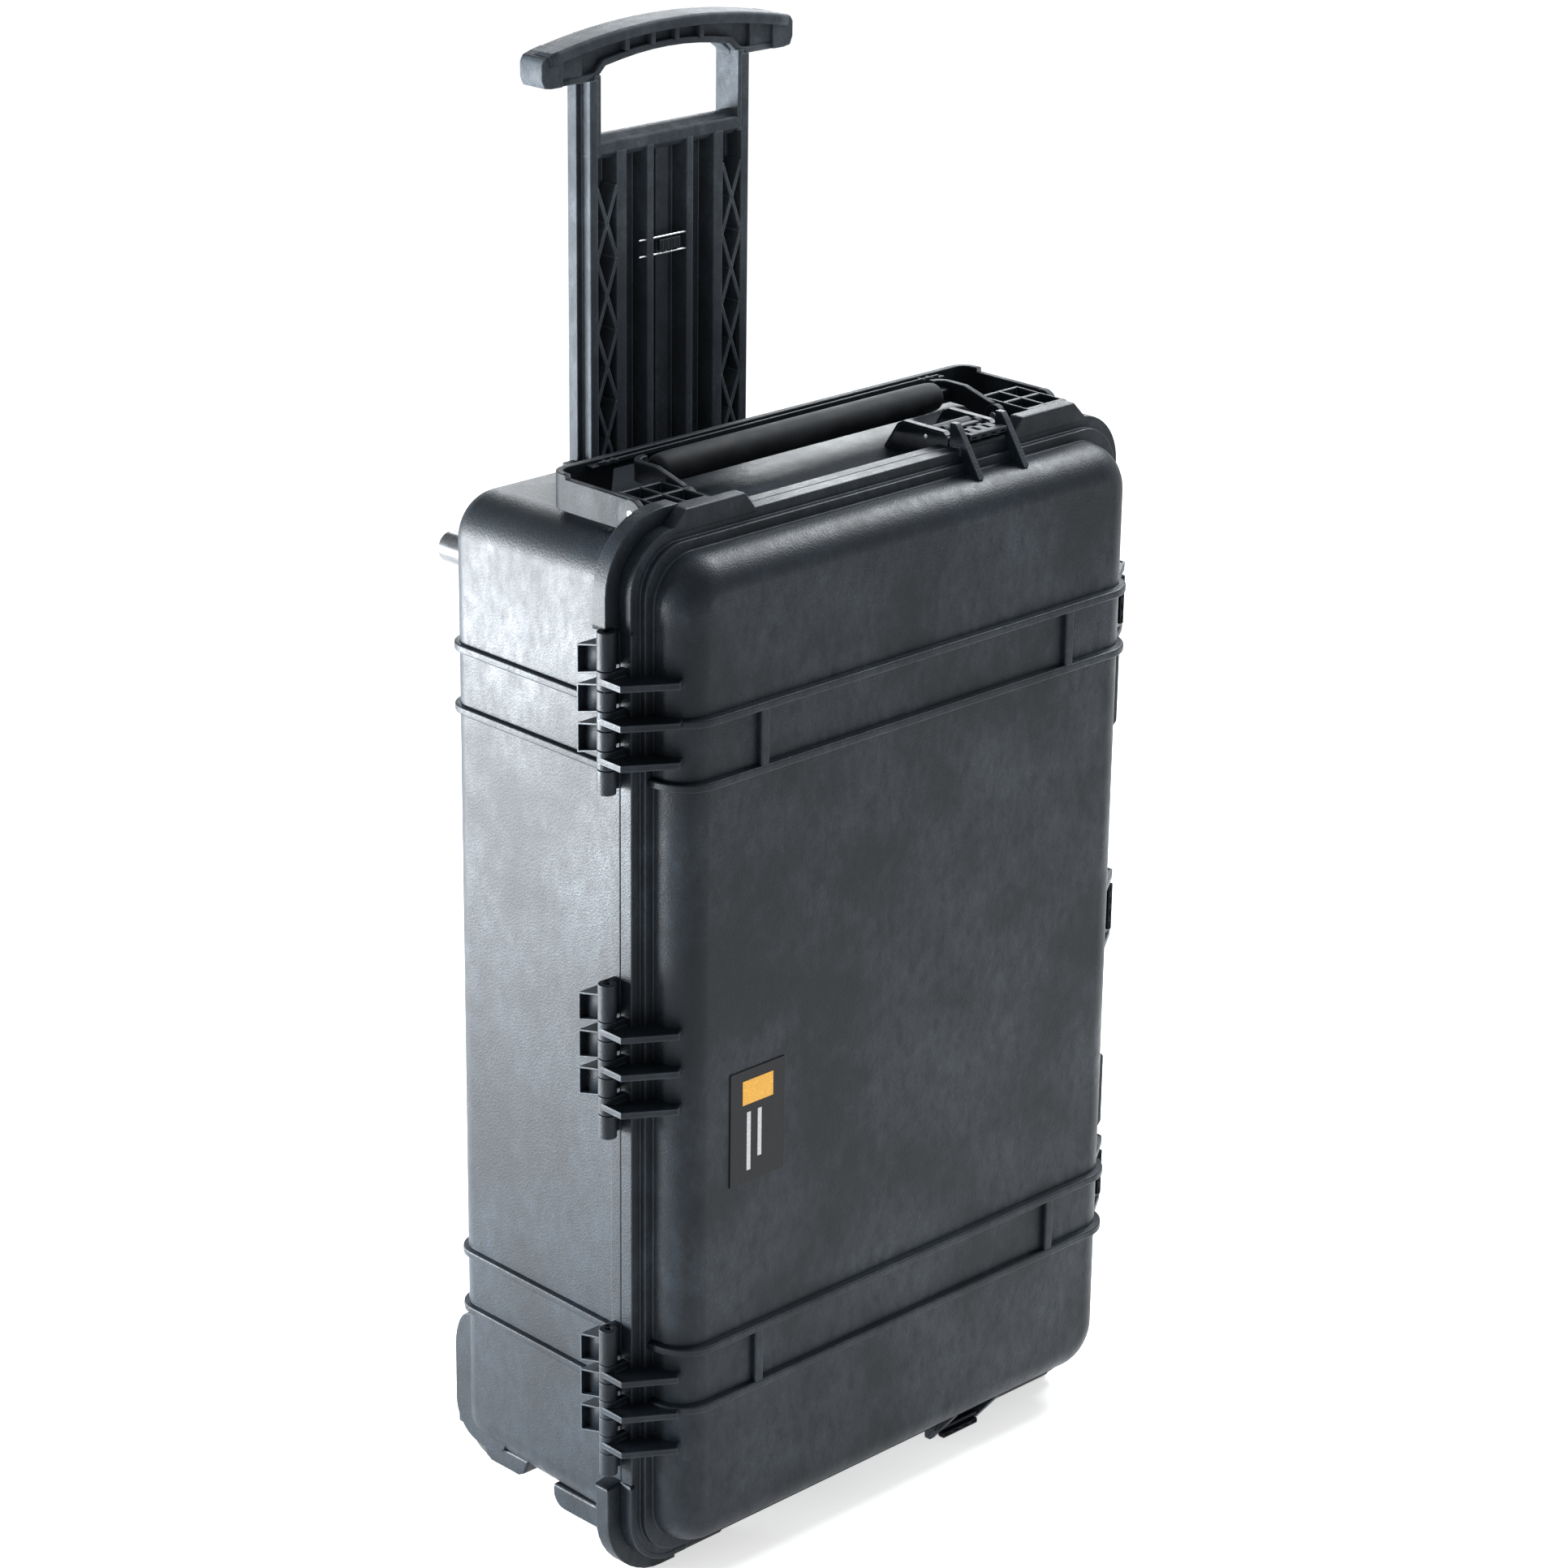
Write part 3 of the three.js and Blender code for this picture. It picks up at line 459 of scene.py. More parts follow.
BEARING = ("bearing_steel", drawn_steel("bearing", (0.6, 0.61, 0.62), (0.12, 0.25)))
LABEL = ("label_film", printed_film("label_film", (0.008, 0.008, 0.009), (0.4, 0.5), 0.2))
ACCENT = ("label_film", printed_film("label_accent", (0.72, 0.36, 0.03), (0.35, 0.5)))
PALE_PRINT = ("label_film", printed_film("label_pale", (0.5, 0.51, 0.52), (0.35, 0.5)))


# -------------------- shells
def shell_rings(profile):
    """Rounded rectangles from a profile of (inset from the rim, y, corner radius)."""
    rings = []
    for inset, y, radius in profile:
        corner_x, corner_z = RIM_W - inset - radius, RIM_H - inset - radius
        ring = []
        for sx, sz, start in ((1, 1, 0), (-1, 1, 90), (-1, -1, 180), (1, -1, 270)):
            ring += arc((sx * corner_x, sz * corner_z), radius, start, start + 90, CORNER_STEPS)
        rings.append([(x, y, z + RIM_MIDDLE) for x, z in ring])
    return rings


def wall_curve(wall, open_y, closed_y, thickness=0, edge=None):
    """(inset, y, corner radius) down a drafted wall and round its far edge."""
    edge = edge or wall["edge"]
    toward = 1 if closed_y > open_y else -1
    curve = []
    for angle in evenly(0, pi / 2, 9):
        y = closed_y - toward * edge * (1 - sin(angle))
        fall = abs(y - open_y) / abs(closed_y - open_y)
        round_in = edge * (1 - cos(angle))
        curve.append((wall["inset"] + thickness + wall["draft"] * fall + round_in, y,
                      wall["radius"] - thickness - round_in))
    return curve


def wall_at(wall, open_y, closed_y, y):
    """(inset, y, corner radius) of a wall at one depth."""
    fall = abs(y - open_y) / abs(closed_y - open_y)
    return wall["inset"] + wall["draft"] * fall, y, wall["radius"]


def shell_profile(wall, toward, closed_y, flange, step, step_inset, groove):
    """The whole cross-section: closed face, wall, stepped rim, seam face, cavity."""
    seam, step_y, flange_y, groove_floor = (SEAM + toward * depth
                                            for depth in (HALF_GAP, step, flange, GROOVE_DEPTH))
    outer = wall_curve(wall, SEAM, closed_y)
    rim = [outer[0], wall_at(wall, SEAM, closed_y, step_y), (step_inset, step_y, RIM_RADIUS - 6),
           (step_inset, flange_y, RIM_RADIUS - 6), (0, flange_y, RIM_RADIUS), (0, seam, RIM_RADIUS)]
    if groove:
        for inset, stops in zip(GROOVE_INSETS, ((seam, groove_floor), (groove_floor, seam))):
            rim += [(inset, y, RIM_RADIUS - inset) for y in stops]
    inner = wall_curve(wall, SEAM, closed_y - toward * WALL, WALL, wall["edge"] - 4)
    rim += [(wall["inset"] + WALL, seam, wall["radius"] - WALL), inner[0]]
    return outer[::-1] + soften(rim, 1.1)[1:-1] + inner


def rib_band(wall, toward, closed_y, start, height, proud):
    """One rib that follows the shell's section from rim to rim."""
    curve = [wall_at(wall, SEAM, closed_y, SEAM + toward * start)] + wall_curve(wall, SEAM, closed_y)
    left = [(-(RIM_W - inset), y, height) for inset, y, _ in curve]
    half = RIB_WIDTH / 2
    outline = [(-3, -half - 0.8), (-3, half + 0.8), (0, half), (proud, half - 0.8), (proud, -half + 0.8),
               (0, -half)]
    return sweep(left + mirrored(left), soften(outline, 1.1, closed=True), side=-toward)


def lid_shell():
    """The lid, with a groove for the gasket, band ribs and crossbars."""
    rings = shell_rings(shell_profile(LID_WALL, -1, FRONT, LID_FLANGE, LID_STEP, step_inset=8, groove=True))
    make_piece("lid_dome", loft(rings), "lid", SHELL, ("lid_shell",))
    ribs = Solid()
    for height in RIB_HEIGHTS:
        ribs.add(rib_band(LID_WALL, -1, FRONT, LID_STEP - 2, height, RIB_PROUD))
    make_piece("lid_ribs", ribs, "lid", SHELL)
    bars = Solid()
    for x in (-CROSSBAR_X, CROSSBAR_X):
        for low, high in (RIB_HEIGHTS[1::-1], RIB_HEIGHTS[:1:-1]):
            bars.add(box((x - 4, x + 4), (FRONT - RIB_PROUD + 0.6, FRONT + 2), (low, high)))
    make_piece("lid_crossbars", bars, "lid", SHELL, bevel=1.4, segments=3)


def rim_guards():
    """Raised bands round the rim's corners on the hinge side, ending in slanted feet."""
    proud = 3
    for name, turn, edge_z, end_z in (("upper", 1, RIM_TOP, 318), ("lower", -1, RIM_BOTTOM, -322)):
        centre = (-RIM_W + RIM_RADIUS, edge_z - turn * RIM_RADIUS)
        corner = arc(centre, RIM_RADIUS, 180, 180 - turn * 90, 10)
        foot = [(-RIM_W - 0.6, end_z - turn * 4), (-RIM_W, end_z)]
        run = foot + corner + [(-RIM_W + RIM_RADIUS + 12, edge_z)]
        for body, depth, span in (("lid", -1, (SEAM - LID_FLANGE - 0.5, SEAM - HALF_GAP)),
                                  ("base", -12.6, (SEAM + HALF_GAP, SEAM + BASE_FLANGE + 3))):
            path = [(x, 0, z) for x, z in run]
            band = sweep(path, soft_rectangle((depth, proud), span, 0.9), side=-turn, across=(0, 1, 0))
            make_piece(f"{body}_rim_guard_{name}", band, body, SHELL)


def rim_blocks():
    """Raised blocks on the lid's rim in front of the handle brackets."""
    for edge in ("top", "right"):
        blocks = Solid(edge_matrix(edge))
        for side in (-1, 1):
            outline = [(side * x, z) for x, z in ((122, -4), (135, 12), (190, 12), (206, -4))]
            blocks.add(prism(outline, "y", (SEAM - LID_FLANGE - 0.4, SEAM - HALF_GAP)))
        make_piece(f"lid_rim_blocks_{edge}", blocks, "lid", SHELL, bevel=1.6, segments=3)


def knuckle_span(height, index):
    """The heights that one knuckle of a hinge spans, with a little clearance."""
    high, low = KNUCKLE_ENDS[index:index + 2]
    return height + low + KNUCKLE_GAP, height + high - KNUCKLE_GAP


def barrel(span):
    """One hinge knuckle, hollow for the pin."""
    section = soft_rectangle(span, (PIN_BORE, KNUCKLE_RADIUS), 0.7)
    return lathe(section, (HINGE_X, SEAM, 0), "z", 28, hollow=True)


def hinges():
    """Three hinges on the left side, each round its own pin."""
    for name, height in zip(("upper", "middle", "lower"), HINGE_HEIGHTS):
        lid_hinge(name, height)
        base_hinge(name, height)
        low, high = cad_box(f"hinge_pin_{name}")
        shortening = 16                  # so that the pin ends inside the top knuckle
        steel_pin(f"pin_{name}", "base", f"hinge_pin_{name}", (low.z, high.z - shortening), 2,
                  (HINGE_X, SEAM, 0), "z", 0.6)


def lid_hinge(name, height):
    """Three knuckles, each with an arm and a pointed fin that runs onto the lid's front."""
    arms, barrels = Solid(), Solid()
    for index in (1, 3, 5):
        span = knuckle_span(height, index)
        middle = sum(span) / 2
        barrels.add(barrel(span))
        arms.add(box((HINGE_X, RIM_SIDE_X), (SEAM - KNUCKLE_RADIUS, SEAM - 1.5), span))
        fin = [(-256.5, -84), (-257.2, -107), (-224, -129), (-212, -120), (-222, -98), (-236, -88)]
        arms.add(prism(fin, "z", (middle - 1.5, middle + 1.5)))
        lip = [(HINGE_X - 5.6, SEAM), (-256.5, -107), (-224, -128.2), (-217, -123.5)]
        path = [(x, y, middle) for x, y in lip]
        arms.add(sweep(path, soft_rectangle((-0.6, 0.8), (-2.4, 2.4), 0.5), side=1))
    make_piece(f"lid_hinge_fins_{name}", arms, "lid", SHELL, bevel=0.5)
    make_piece(f"lid_hinge_barrels_{name}", barrels, "lid", SHELL)


def base_hinge(name, height):
    """Four knuckles with arms, three hollow struts behind them, and dark plates set in the struts that paint
    the shade in their hollows.
    """
    arms, barrels, walls, floors = Solid(), Solid(), Solid(), Solid()
    for index in (0, 2, 4, 6):
        span = knuckle_span(height, index)
        barrels.add(barrel(span))
        arms.add(box((HINGE_X, RIM_SIDE_X), (SEAM + 1.5, SEAM + KNUCKLE_RADIUS), span))
    for drop in STRUT_DROPS:
        foot = height - drop
        outline = [(-53, foot + 18), (-53, foot + 39), (-75, foot + 44), (-75, foot + 24)]
        path = [(-246.5, y, z) for y, z in outline]
        section = soft_rectangle((-1.3, 0.1), (0, 20), 0.4)
        walls.add(sweep(path, section, side=1, across=(1, 0, 0), closed=True))
        # dark plates in the struts' hollows: painted shade
        floors.add(prism(outline, "x", (-241, -227)))
    make_piece(f"base_hinge_arms_{name}", arms, "base", SHELL, bevel=0.7)
    make_piece(f"base_hinge_barrels_{name}", barrels, "base", SHELL)
    make_piece(f"base_hinge_gussets_{name}", walls, "base", SHELL, bevel=0.4)
    make_piece(f"base_hinge_painted_shade_{name}", floors, "base", TRIM)


def base_shell():
    profile = shell_profile(BASE_WALL, 1, BACK, BASE_FLANGE, BASE_STEP, step_inset=7, groove=False)
    tub = make_piece("base_tub", loft(shell_rings(profile)), "base", SHELL, ("base_shell",))
    for side in (-1, 1):
        cut_away(tub, wheel_well(side))
    ribs = Solid()
    for height in RIB_HEIGHTS:
        ribs.add(rib_band(BASE_WALL, 1, BACK, BASE_STEP - 2, height, 3.8))
    make_piece("base_ribs", ribs, "base", SHELL)


def wheel_centre(side):
    return joint_place(f"wheel_{dict(SIDES)[side]}_spin")


def wheel_space(side, wall, behind, below):
    """A block round a wheel's recess, larger by a wall at its sides, front and top."""
    centre = wheel_centre(side)
    half, reach = WELL_HALF + wall, WELL_REACH + wall
    return box((centre.x - half, centre.x + half), (centre.y - reach, behind), (below, centre.z + reach))


def wheel_well(side):
    """The space that a wheel turns in, open at the back and below."""
    return wheel_space(side, 0, behind=160, below=-420)


def wheel_housings():
    """Blocks round the wheels, the walls of their recesses and the rear bumpers."""
    for side, name in SIDES:
        outline = [(60, -362), (84, -368), (104, -362), (115, -346), (115, -284), (108, -266), (96, -261),
                   (60, -261)]
        solid = prism(soften(outline, 9, closed=True, steps=5), "x", side_span(side, HOUSING_SPAN))
        housing = make_piece(f"wheel_housing_{name}", solid, "base", SHELL, bevel=5, segments=5)
        cut_away(housing, wheel_well(side))
        liner = wheel_space(side, WALL, behind=BACK - 3, below=-368)
        liner = make_piece(f"wheel_liner_{name}", liner, "base", SHELL, bevel=0.8)
        cut_away(liner, wheel_well(side))
        bumper = [(98, -366), (126, -366), *arc((119, -341), 7, 0, 90, 5), (98, -334)]
        solid = prism(bumper, "x", side_span(side, BUMPER_SPAN))
        make_piece(f"rear_bumper_{name}", solid, "base", SHELL, bevel=2, segments=3)


def feet():
    """Moulded feet underneath, and the studs that the case lies back on."""
    solid = Solid(edge_matrix("bottom"))
    for side in (-1, 1):
        front = [(-85.4, -18), (14, -18), *arc((2, -12), 12, 0, 90, 6), (-64, 0), (-70, 13), (-82, 13),
                 (-85.4, 10)]
        solid.add(prism(front, "x", side_span(side, FOOT_SPAN)))
        middle = [(38, -26), (92, -26), (86, -13), (80, -10), (50, -10), (43, -14)]
        solid.add(prism(middle, "x", side_span(side, MIDDLE_FOOT_SPAN)))
    make_piece("moulded_feet", solid, "base", SHELL, bevel=2.2, segments=3)
    for side, name in SIDES:
        low, high = cad_box(f"rear_foot_{name}")
        centre = (low + high) / 2
        front_y, end_y, dish_y = low.y - 2, high.y, high.y - 2
        profile = [(front_y, 0.3), (front_y, 11), (end_y, 11), (end_y, 8), (dish_y, 7), (dish_y, 0.3)]
        piece = lathe(soften(profile, 1.2), (centre.x, 0, centre.z), "y", 36)
        make_piece(f"rest_stud_{name}", piece, "base", STUD, (f"rear_foot_{name}",))


# -------------------- latches
def latches():
    for name, edge in (("top", "top"), ("bottom", "bottom"), ("side_upper", "right"),
                       ("side_middle", "right"), ("side_lower", "right")):
        matrix = edge_matrix(edge)
        swing = matrix.inverted() @ joint_place(f"latch_{name}_swing")
        pull = matrix.inverted() @ joint_place(f"latch_{name}_pull")
        latch_fins(name, matrix, swing)
        latch_moving(name, matrix, swing, pull)


def latch_fins(name, matrix, swing):
    """Fins on the lid and the base, either side of a latch; the bottom ones stay clear of the floor."""
    lid, base = Solid(matrix), Solid(matrix)
    top = 11.6 if name == "bottom" else 18
    for x in (swing.x - LATCH_FIN_X, swing.x + LATCH_FIN_X):
        front = [(-86.6, -14), (-86.6, top - 1), (-88, top), (-93, top), (-97, top - 5), (-117, -17),
                 (-114, -22), (-97, -22)]
        lid.add(prism(front, "x", (x - 1.8, x + 1.8)))
        edge_path = [(x, -87.6, top - 0.8), (x, -92.6, top - 0.8), (x, -96.4, top - 5.4), (x, -116, -17)]
        lid.add(sweep(edge_path, rectangle((-1, 0.8), (-2.6, 2.6)), side=-1, across=(1, 0, 0)))
        outward = 1 if x > swing.x else -1
        lid.add(box(sorted((x + outward * 1.5, x + outward * 3)), (-98, -91), (-4, 3)))
        back = [(-85.4, -8), (-85.4, 6), (-81, 10), (-42, 10), (-37, 7), (-24, -13), (-27, -18), (-80, -18)]
        base.add(prism(back, "x", (x - 2, x + 2)))
        rim_path = [(x, -84, 7), (x, -80.6, 9.2), (x, -42.6, 9.2), (x, -37.6, 6.4), (x, -25.4, -12)]
        base.add(sweep(rim_path, rectangle((-1, 0.8), (-2.8, 2.8)), side=1, across=(1, 0, 0)))
    make_piece(f"latch_{name}_lid_fins", lid, "lid", SHELL, bevel=0.5)
    make_piece(f"latch_{name}_base_fins", base, "base", SHELL, bevel=0.5)


def latch_moving(name, matrix, swing, pull):
    """The hook with its barrel and plate, the lever on it, and their two pins."""
    latch = f"latch_{name}"
    half, ear, finger_half = 18.6, 13, 3.6
    left, right = swing.x - half, swing.x + half
    hook = Solid(matrix).add(rod((left, right), 6.5, (0, swing.y, swing.z), "x", 1.0, 28))
    for span in ((left, left + 5), (right - 5, right)):
        hook.add(rod(span, 4, (0, pull.y, pull.z), "x", 0.6, 24))
    make_piece(f"{latch}_hook_barrel", hook, latch, TRIM, (f"{latch}_hook",))
    plate = Solid(matrix).add(box((left, right), (-100, swing.y), (0.8, 3.6)))
    for span in ((left, left + 5), (swing.x - 3, swing.x + 3), (right - 5, right)):
        plate.add(box(span, (-72.5, swing.y - 2), (2, 5)))
    make_piece(f"{latch}_hook_plate", plate, latch, TRIM, bevel=0.7)
    lever = Solid(matrix).add(box((swing.x - ear, swing.x + ear), (-80, -75), (6.4, 10.4)))
    for finger in (-14.8, -5, 5, 14.8):
        centre = swing.x + finger
        lever.add(box((centre - finger_half, centre + finger_half), (-101, -79.5), (6.4, 9.2)))
    lever.add(box((left, right), (-101, -95), (6.2, 10.4)))
    lever.add(box((left, right), (-84.5, -79.5), (6.2, 9.2)))
    make_piece(f"{latch}_paddle_bars", lever, f"{latch}_paddle", TRIM, (f"{latch}_lever",), bevel=0.8)
    steel_pin(f"{latch}_swing_pin", "base", f"{latch}_pivot_pin",
              (swing.x - 25.5, swing.x + 25.5), 2, (0, swing.y, swing.z), matrix=matrix)
    steel_pin(f"{latch}_pull_pin", latch, f"{latch}_lever_pin",
              (left - 0.2, right + 0.2), 1.5, (0, pull.y, pull.z), soft=0.4, steps=16, matrix=matrix)


# -------------------- carry handles
BAND_HALF, HUB_HALF = 2.5, 2.8       # half the thickness of a handle's bands, and of their ends on the pins


def arm_and_corner(half, back, radius, arm_stops):
    """The left arm from its pivot and the round corner after it, as (x, y)."""
    return [(-half, y) for y in arm_stops] + arc((-half + radius, back - radius), radius, 180, 90)


def handles():
    for name, edge in (("top", "top"), ("side", "right")):
        matrix = edge_matrix(edge)
        pivot = matrix.inverted() @ joint_place(f"{name}_carry_handle_fold")
        outer_frame(name, matrix, pivot)
        inner_frame(name, matrix, pivot)
        brackets(name, matrix)
        for side, end in ((-1, "a"), (1, "b")):
            steel_pin(f"{name}_pin_{end}", "base", f"{name}_handle_pin_{end}", side_span(side, (147, 203.6)),
                      3, (0, pivot.y, pivot.z), soft=0.8, steps=24, matrix=matrix)


def outer_frame(name, matrix, pivot):
    """A flat band bent round the handle, low on its arms, tall at its corners and shallow in its middle."""
    half, back, low, high = 200.5, 21.5, -11, 15
    arm_top, arm_end = 12, 6
    shallow_floor, shallow_half = 5, 148

    def section(point):
        floor = shallow_floor if abs(point.x) < shallow_half else low
        return soft_rectangle((-BAND_HALF, BAND_HALF), (floor, arm_top if point.y < arm_end else high), 0.9)

    arm_stops = (pivot.y, (pivot.y + back) / 2, arm_end - 0.1, arm_end + 0.1)
    left = arm_and_corner(half, back, 11.5, arm_stops) + [(-x, back) for x in (172, 149, 147, 140)]
    path = [(x, y, 0) for x, y in left + mirrored(left)]
    band = Solid(matrix).add(sweep(path, section, side=-1))
    for side in (-1, 1):
        span = side_span(side, (half - HUB_HALF, half + HUB_HALF))
        centre_z = (low + arm_top) / 2
        band.add(rod(span, (arm_top - low) / 2 + 0.2, (0, pivot.y, centre_z), "x", 0.9, 40))
    body = f"{name}_outer_frame"
    make_piece(f"{name}_frame_band", band, body, TRIM, (f"{name}_handle_outer_frame",))
    lip = Solid(matrix)
    lip.add(box((-172, 172), (13, 20), (11, 12.6)))
    lip.add(box((-166, 166), (13, 15), (11, 14.6)))
    for x in (-158, -150, 150, 158):
        lip.add(box((x - 1.5, x + 1.5), (12.4, 20), (11, 14)))
    make_piece(f"{name}_frame_lip", lip, body, TRIM, bevel=0.6)


def inner_frame(name, matrix, pivot):
    """Two rising arms, the core between them and the rubber grip round it."""
    half, back, rise_length = 150.5, -2.5, 30
    body = f"{name}_carry_handle"

    def section(point):
        rise = min(1, max(0, (point.y - pivot.y) / rise_length))
        return soft_rectangle((-BAND_HALF, BAND_HALF), (-6 + 9.2 * rise, 10 + 8 * rise), 0.9)

    arm_stops = evenly(pivot.y, pivot.y + rise_length, 5)
    left = arm_and_corner(half, back, 10, arm_stops)[:-1] + [(-138.2, back)]
    for side, end in ((-1, "a"), (1, "b")):
        arm = Solid(matrix).add(sweep([(-side * x, y, 0) for x, y in left], section, side=side))
        span = side_span(side, (half - HUB_HALF, half + HUB_HALF))
        arm.add(rod(span, 8.2, (0, pivot.y, pivot.z), "x", 0.9, 32))
        node = (f"{name}_handle_inner_frame",) if side < 0 else ()
        make_piece(f"{name}_inner_arm_{end}", arm, body, TRIM, node)
    grip_y, grip_z, core_half = -11, 9, 4.5
    core = Solid(matrix).add(box((-149, 149), (grip_y - core_half, grip_y + core_half),
                                 (grip_z - core_half, grip_z + core_half)))
    make_piece(f"{name}_grip_core", core, body, TRIM, bevel=1.5)
    right_end = [(120, 11), (131, 10.6), (136, 9.6), (138, 6)]
    profile = soften(mirrored(right_end) + right_end, 4)
    grip = Solid(matrix).add(lathe(profile, (0, grip_y, grip_z), "x", 48))
    make_piece(f"{name}_rubber_grip", grip, body, GRIP, (f"{name}_handle_grip",))


def brackets(name, matrix):
    """Egg-crate blocks that carry the handle pins."""
    solid = Solid(matrix)
    for side in (-1, 1):
        for wall in ((155, 157.5), (173.5, 176.5), (192.5, 195)):
            solid.add(box(side_span(side, wall), (-85.2, -36), (-20, 11)))
        for wall in ((-85.2, -80), (-61, -57.4), (-39, -36)):
            solid.add(box(side_span(side, (155.4, 194.6)), wall, (-20, 10.8)))
        solid.add(box(side_span(side, (156, 194)), (-84, -37), (-20, -8)))
    make_piece(f"{name}_handle_brackets", solid, "base", SHELL, bevel=0.8)


# -------------------- trolley
PANEL_FRONT, PANEL_BACK = (cad_box("trolley_handle")[i].y for i in (0, 1))
PANEL_LOW = cad_box("trolley_handle")[0].z
CROWN = cad_box("trolley_handle")[1].z
GRIP_HALF = cad_box("trolley_handle")[1].x
PANEL_HALF = cad_box("trolley_rail_right")[0].x + 3.5
POCKET_DEPTH, POCKET_TOP = 16, 569
WINDOW_LOW, WINDOW_SIDE, WINDOW_HIGH, WINDOW_HALF = 582, 624, 634, 65
GRIP_LOW, GRIP_SIDE = 620, 646


def trolley():
    """The panel with its uprights and crossbar, then its lattice, grip and clip."""
    floor_y = PANEL_FRONT + POCKET_DEPTH
    half = PANEL_HALF - 0.3
    solid = Solid()
    solid.add(box((-half, half), (floor_y, PANEL_BACK - 0.2), (PANEL_LOW, WINDOW_LOW - 8)))
    solid.add(box((-half, half), (PANEL_FRONT + 0.2, PANEL_BACK - 0.4), (PANEL_LOW + 0.2, PANEL_LOW + 12)))
    uprights = ((69, PANEL_HALF - 5, PANEL_FRONT + 0.3, floor_y + 1, WINDOW_LOW - 2),
                (68.6, PANEL_HALF, PANEL_FRONT, PANEL_FRONT + 3.5, GRIP_LOW + 3),
                (68.8, PANEL_HALF, floor_y - 1.5, PANEL_BACK, GRIP_LOW + 3),
                (42, 51, PANEL_FRONT, floor_y + 1, POCKET_TOP + 2),
                (16, 22, PANEL_FRONT, floor_y + 1, POCKET_TOP + 2))
    for side in (-1, 1):
        for inner, outer, front, back, high in uprights:
            solid.add(box(side_span(side, (inner, outer)), (front, back), (PANEL_LOW, high)))
        solid.add(box(side_span(side, (WINDOW_HALF + 0.4, PANEL_HALF - 4.8)),
                      (PANEL_FRONT + 0.2, PANEL_BACK - 0.3), (WINDOW_LOW - 14, GRIP_LOW + 6)))
    solid.add(box((-6, 6), (PANEL_FRONT + 9, floor_y + 1), (PANEL_LOW, POCKET_TOP + 2)))
    make_piece("trolley_panel", solid, "trolley", TROLLEY, ("trolley_handle",), bevel=0.9)
    bar = box((-PANEL_HALF + 5, PANEL_HALF - 5), (PANEL_FRONT + 0.1, PANEL_BACK - 0.1),
              (POCKET_TOP, WINDOW_LOW - 3))
    make_piece("trolley_crossbar", bar, "trolley", TROLLEY, bevel=2.5, segments=3)
    sill = rod((-WINDOW_HALF - 2, WINDOW_HALF + 2), 9, (0, PANEL_FRONT + 11, WINDOW_LOW - 8.5), "x", 2, 40)
    make_piece("trolley_window_sill", sill, "trolley", TROLLEY)
    trolley_lattice(floor_y)
    trolley_grip()
    trolley_grip_fill()
    trolley_clip()


def trolley_lattice(floor_y):
    """Crossed braces in the two outer pockets."""
    solid = Solid()
    first, spacing, count, width = 521, 51.7, 9, 2.9
    inner, outer = 50.6, 69.4
    for side in (-1, 1):
        for i in range(count):
            high = first - spacing * (i - 0.5)
            low = high - spacing
            for start, end, front in ((inner, outer, PANEL_FRONT + 0.2), (outer, inner, PANEL_FRONT + 0.3)):
                solid.add(brace((side * start, high), (side * end, low), width, (front, floor_y + 1)))
    make_piece("trolley_lattice", solid, "trolley", TROLLEY, bevel=0.5)


def brace(start, end, width, depth):
    start, end = Vector(start), Vector(end)
    aside = (end - start).orthogonal().normalized() * width / 2
    outline = [start - aside, end - aside, end + aside, start + aside]
    return prism(outline, "y", depth)


def grip_arc(x, drop):
    """Height of the grip's arched top, lowered by drop."""
    span = GRIP_HALF - 8
    return GRIP_SIDE + (CROWN - GRIP_SIDE) * (1 - (x / span) ** 2) - drop


def grip_side(inset, inner=0):
    """The T grip's outline from x = inner out along its top and round its end, drawn in by inset."""
    low = GRIP_LOW + 1.5 + inset
    edge = GRIP_HALF - inset
    crown = [(x, grip_arc(x, inset)) for x in evenly(inner, GRIP_HALF - 10, 8)]
    return crown + [(edge - 2.5, grip_arc(GRIP_HALF - 4, inset + 1)), (edge, grip_arc(GRIP_HALF, inset + 4)),
                    (edge, low + 7), (edge - 2.5, low + 1), (edge - 9, low)]


def window_arch(rise=0.0):
    """The window's upper edge from left to right, moved outward by rise."""
    half = WINDOW_HALF + rise
    left = [(-half, WINDOW_SIDE - 4), (-half, WINDOW_SIDE + rise / 2), (-half + 8, WINDOW_SIDE + 6 + rise)]
    middle = [(x, WINDOW_HIGH + 2 + rise - 4 * (x / 48) ** 2) for x in (-44, -30, -15, 0, 15, 30, 44)]
    return left + middle + mirrored(left)


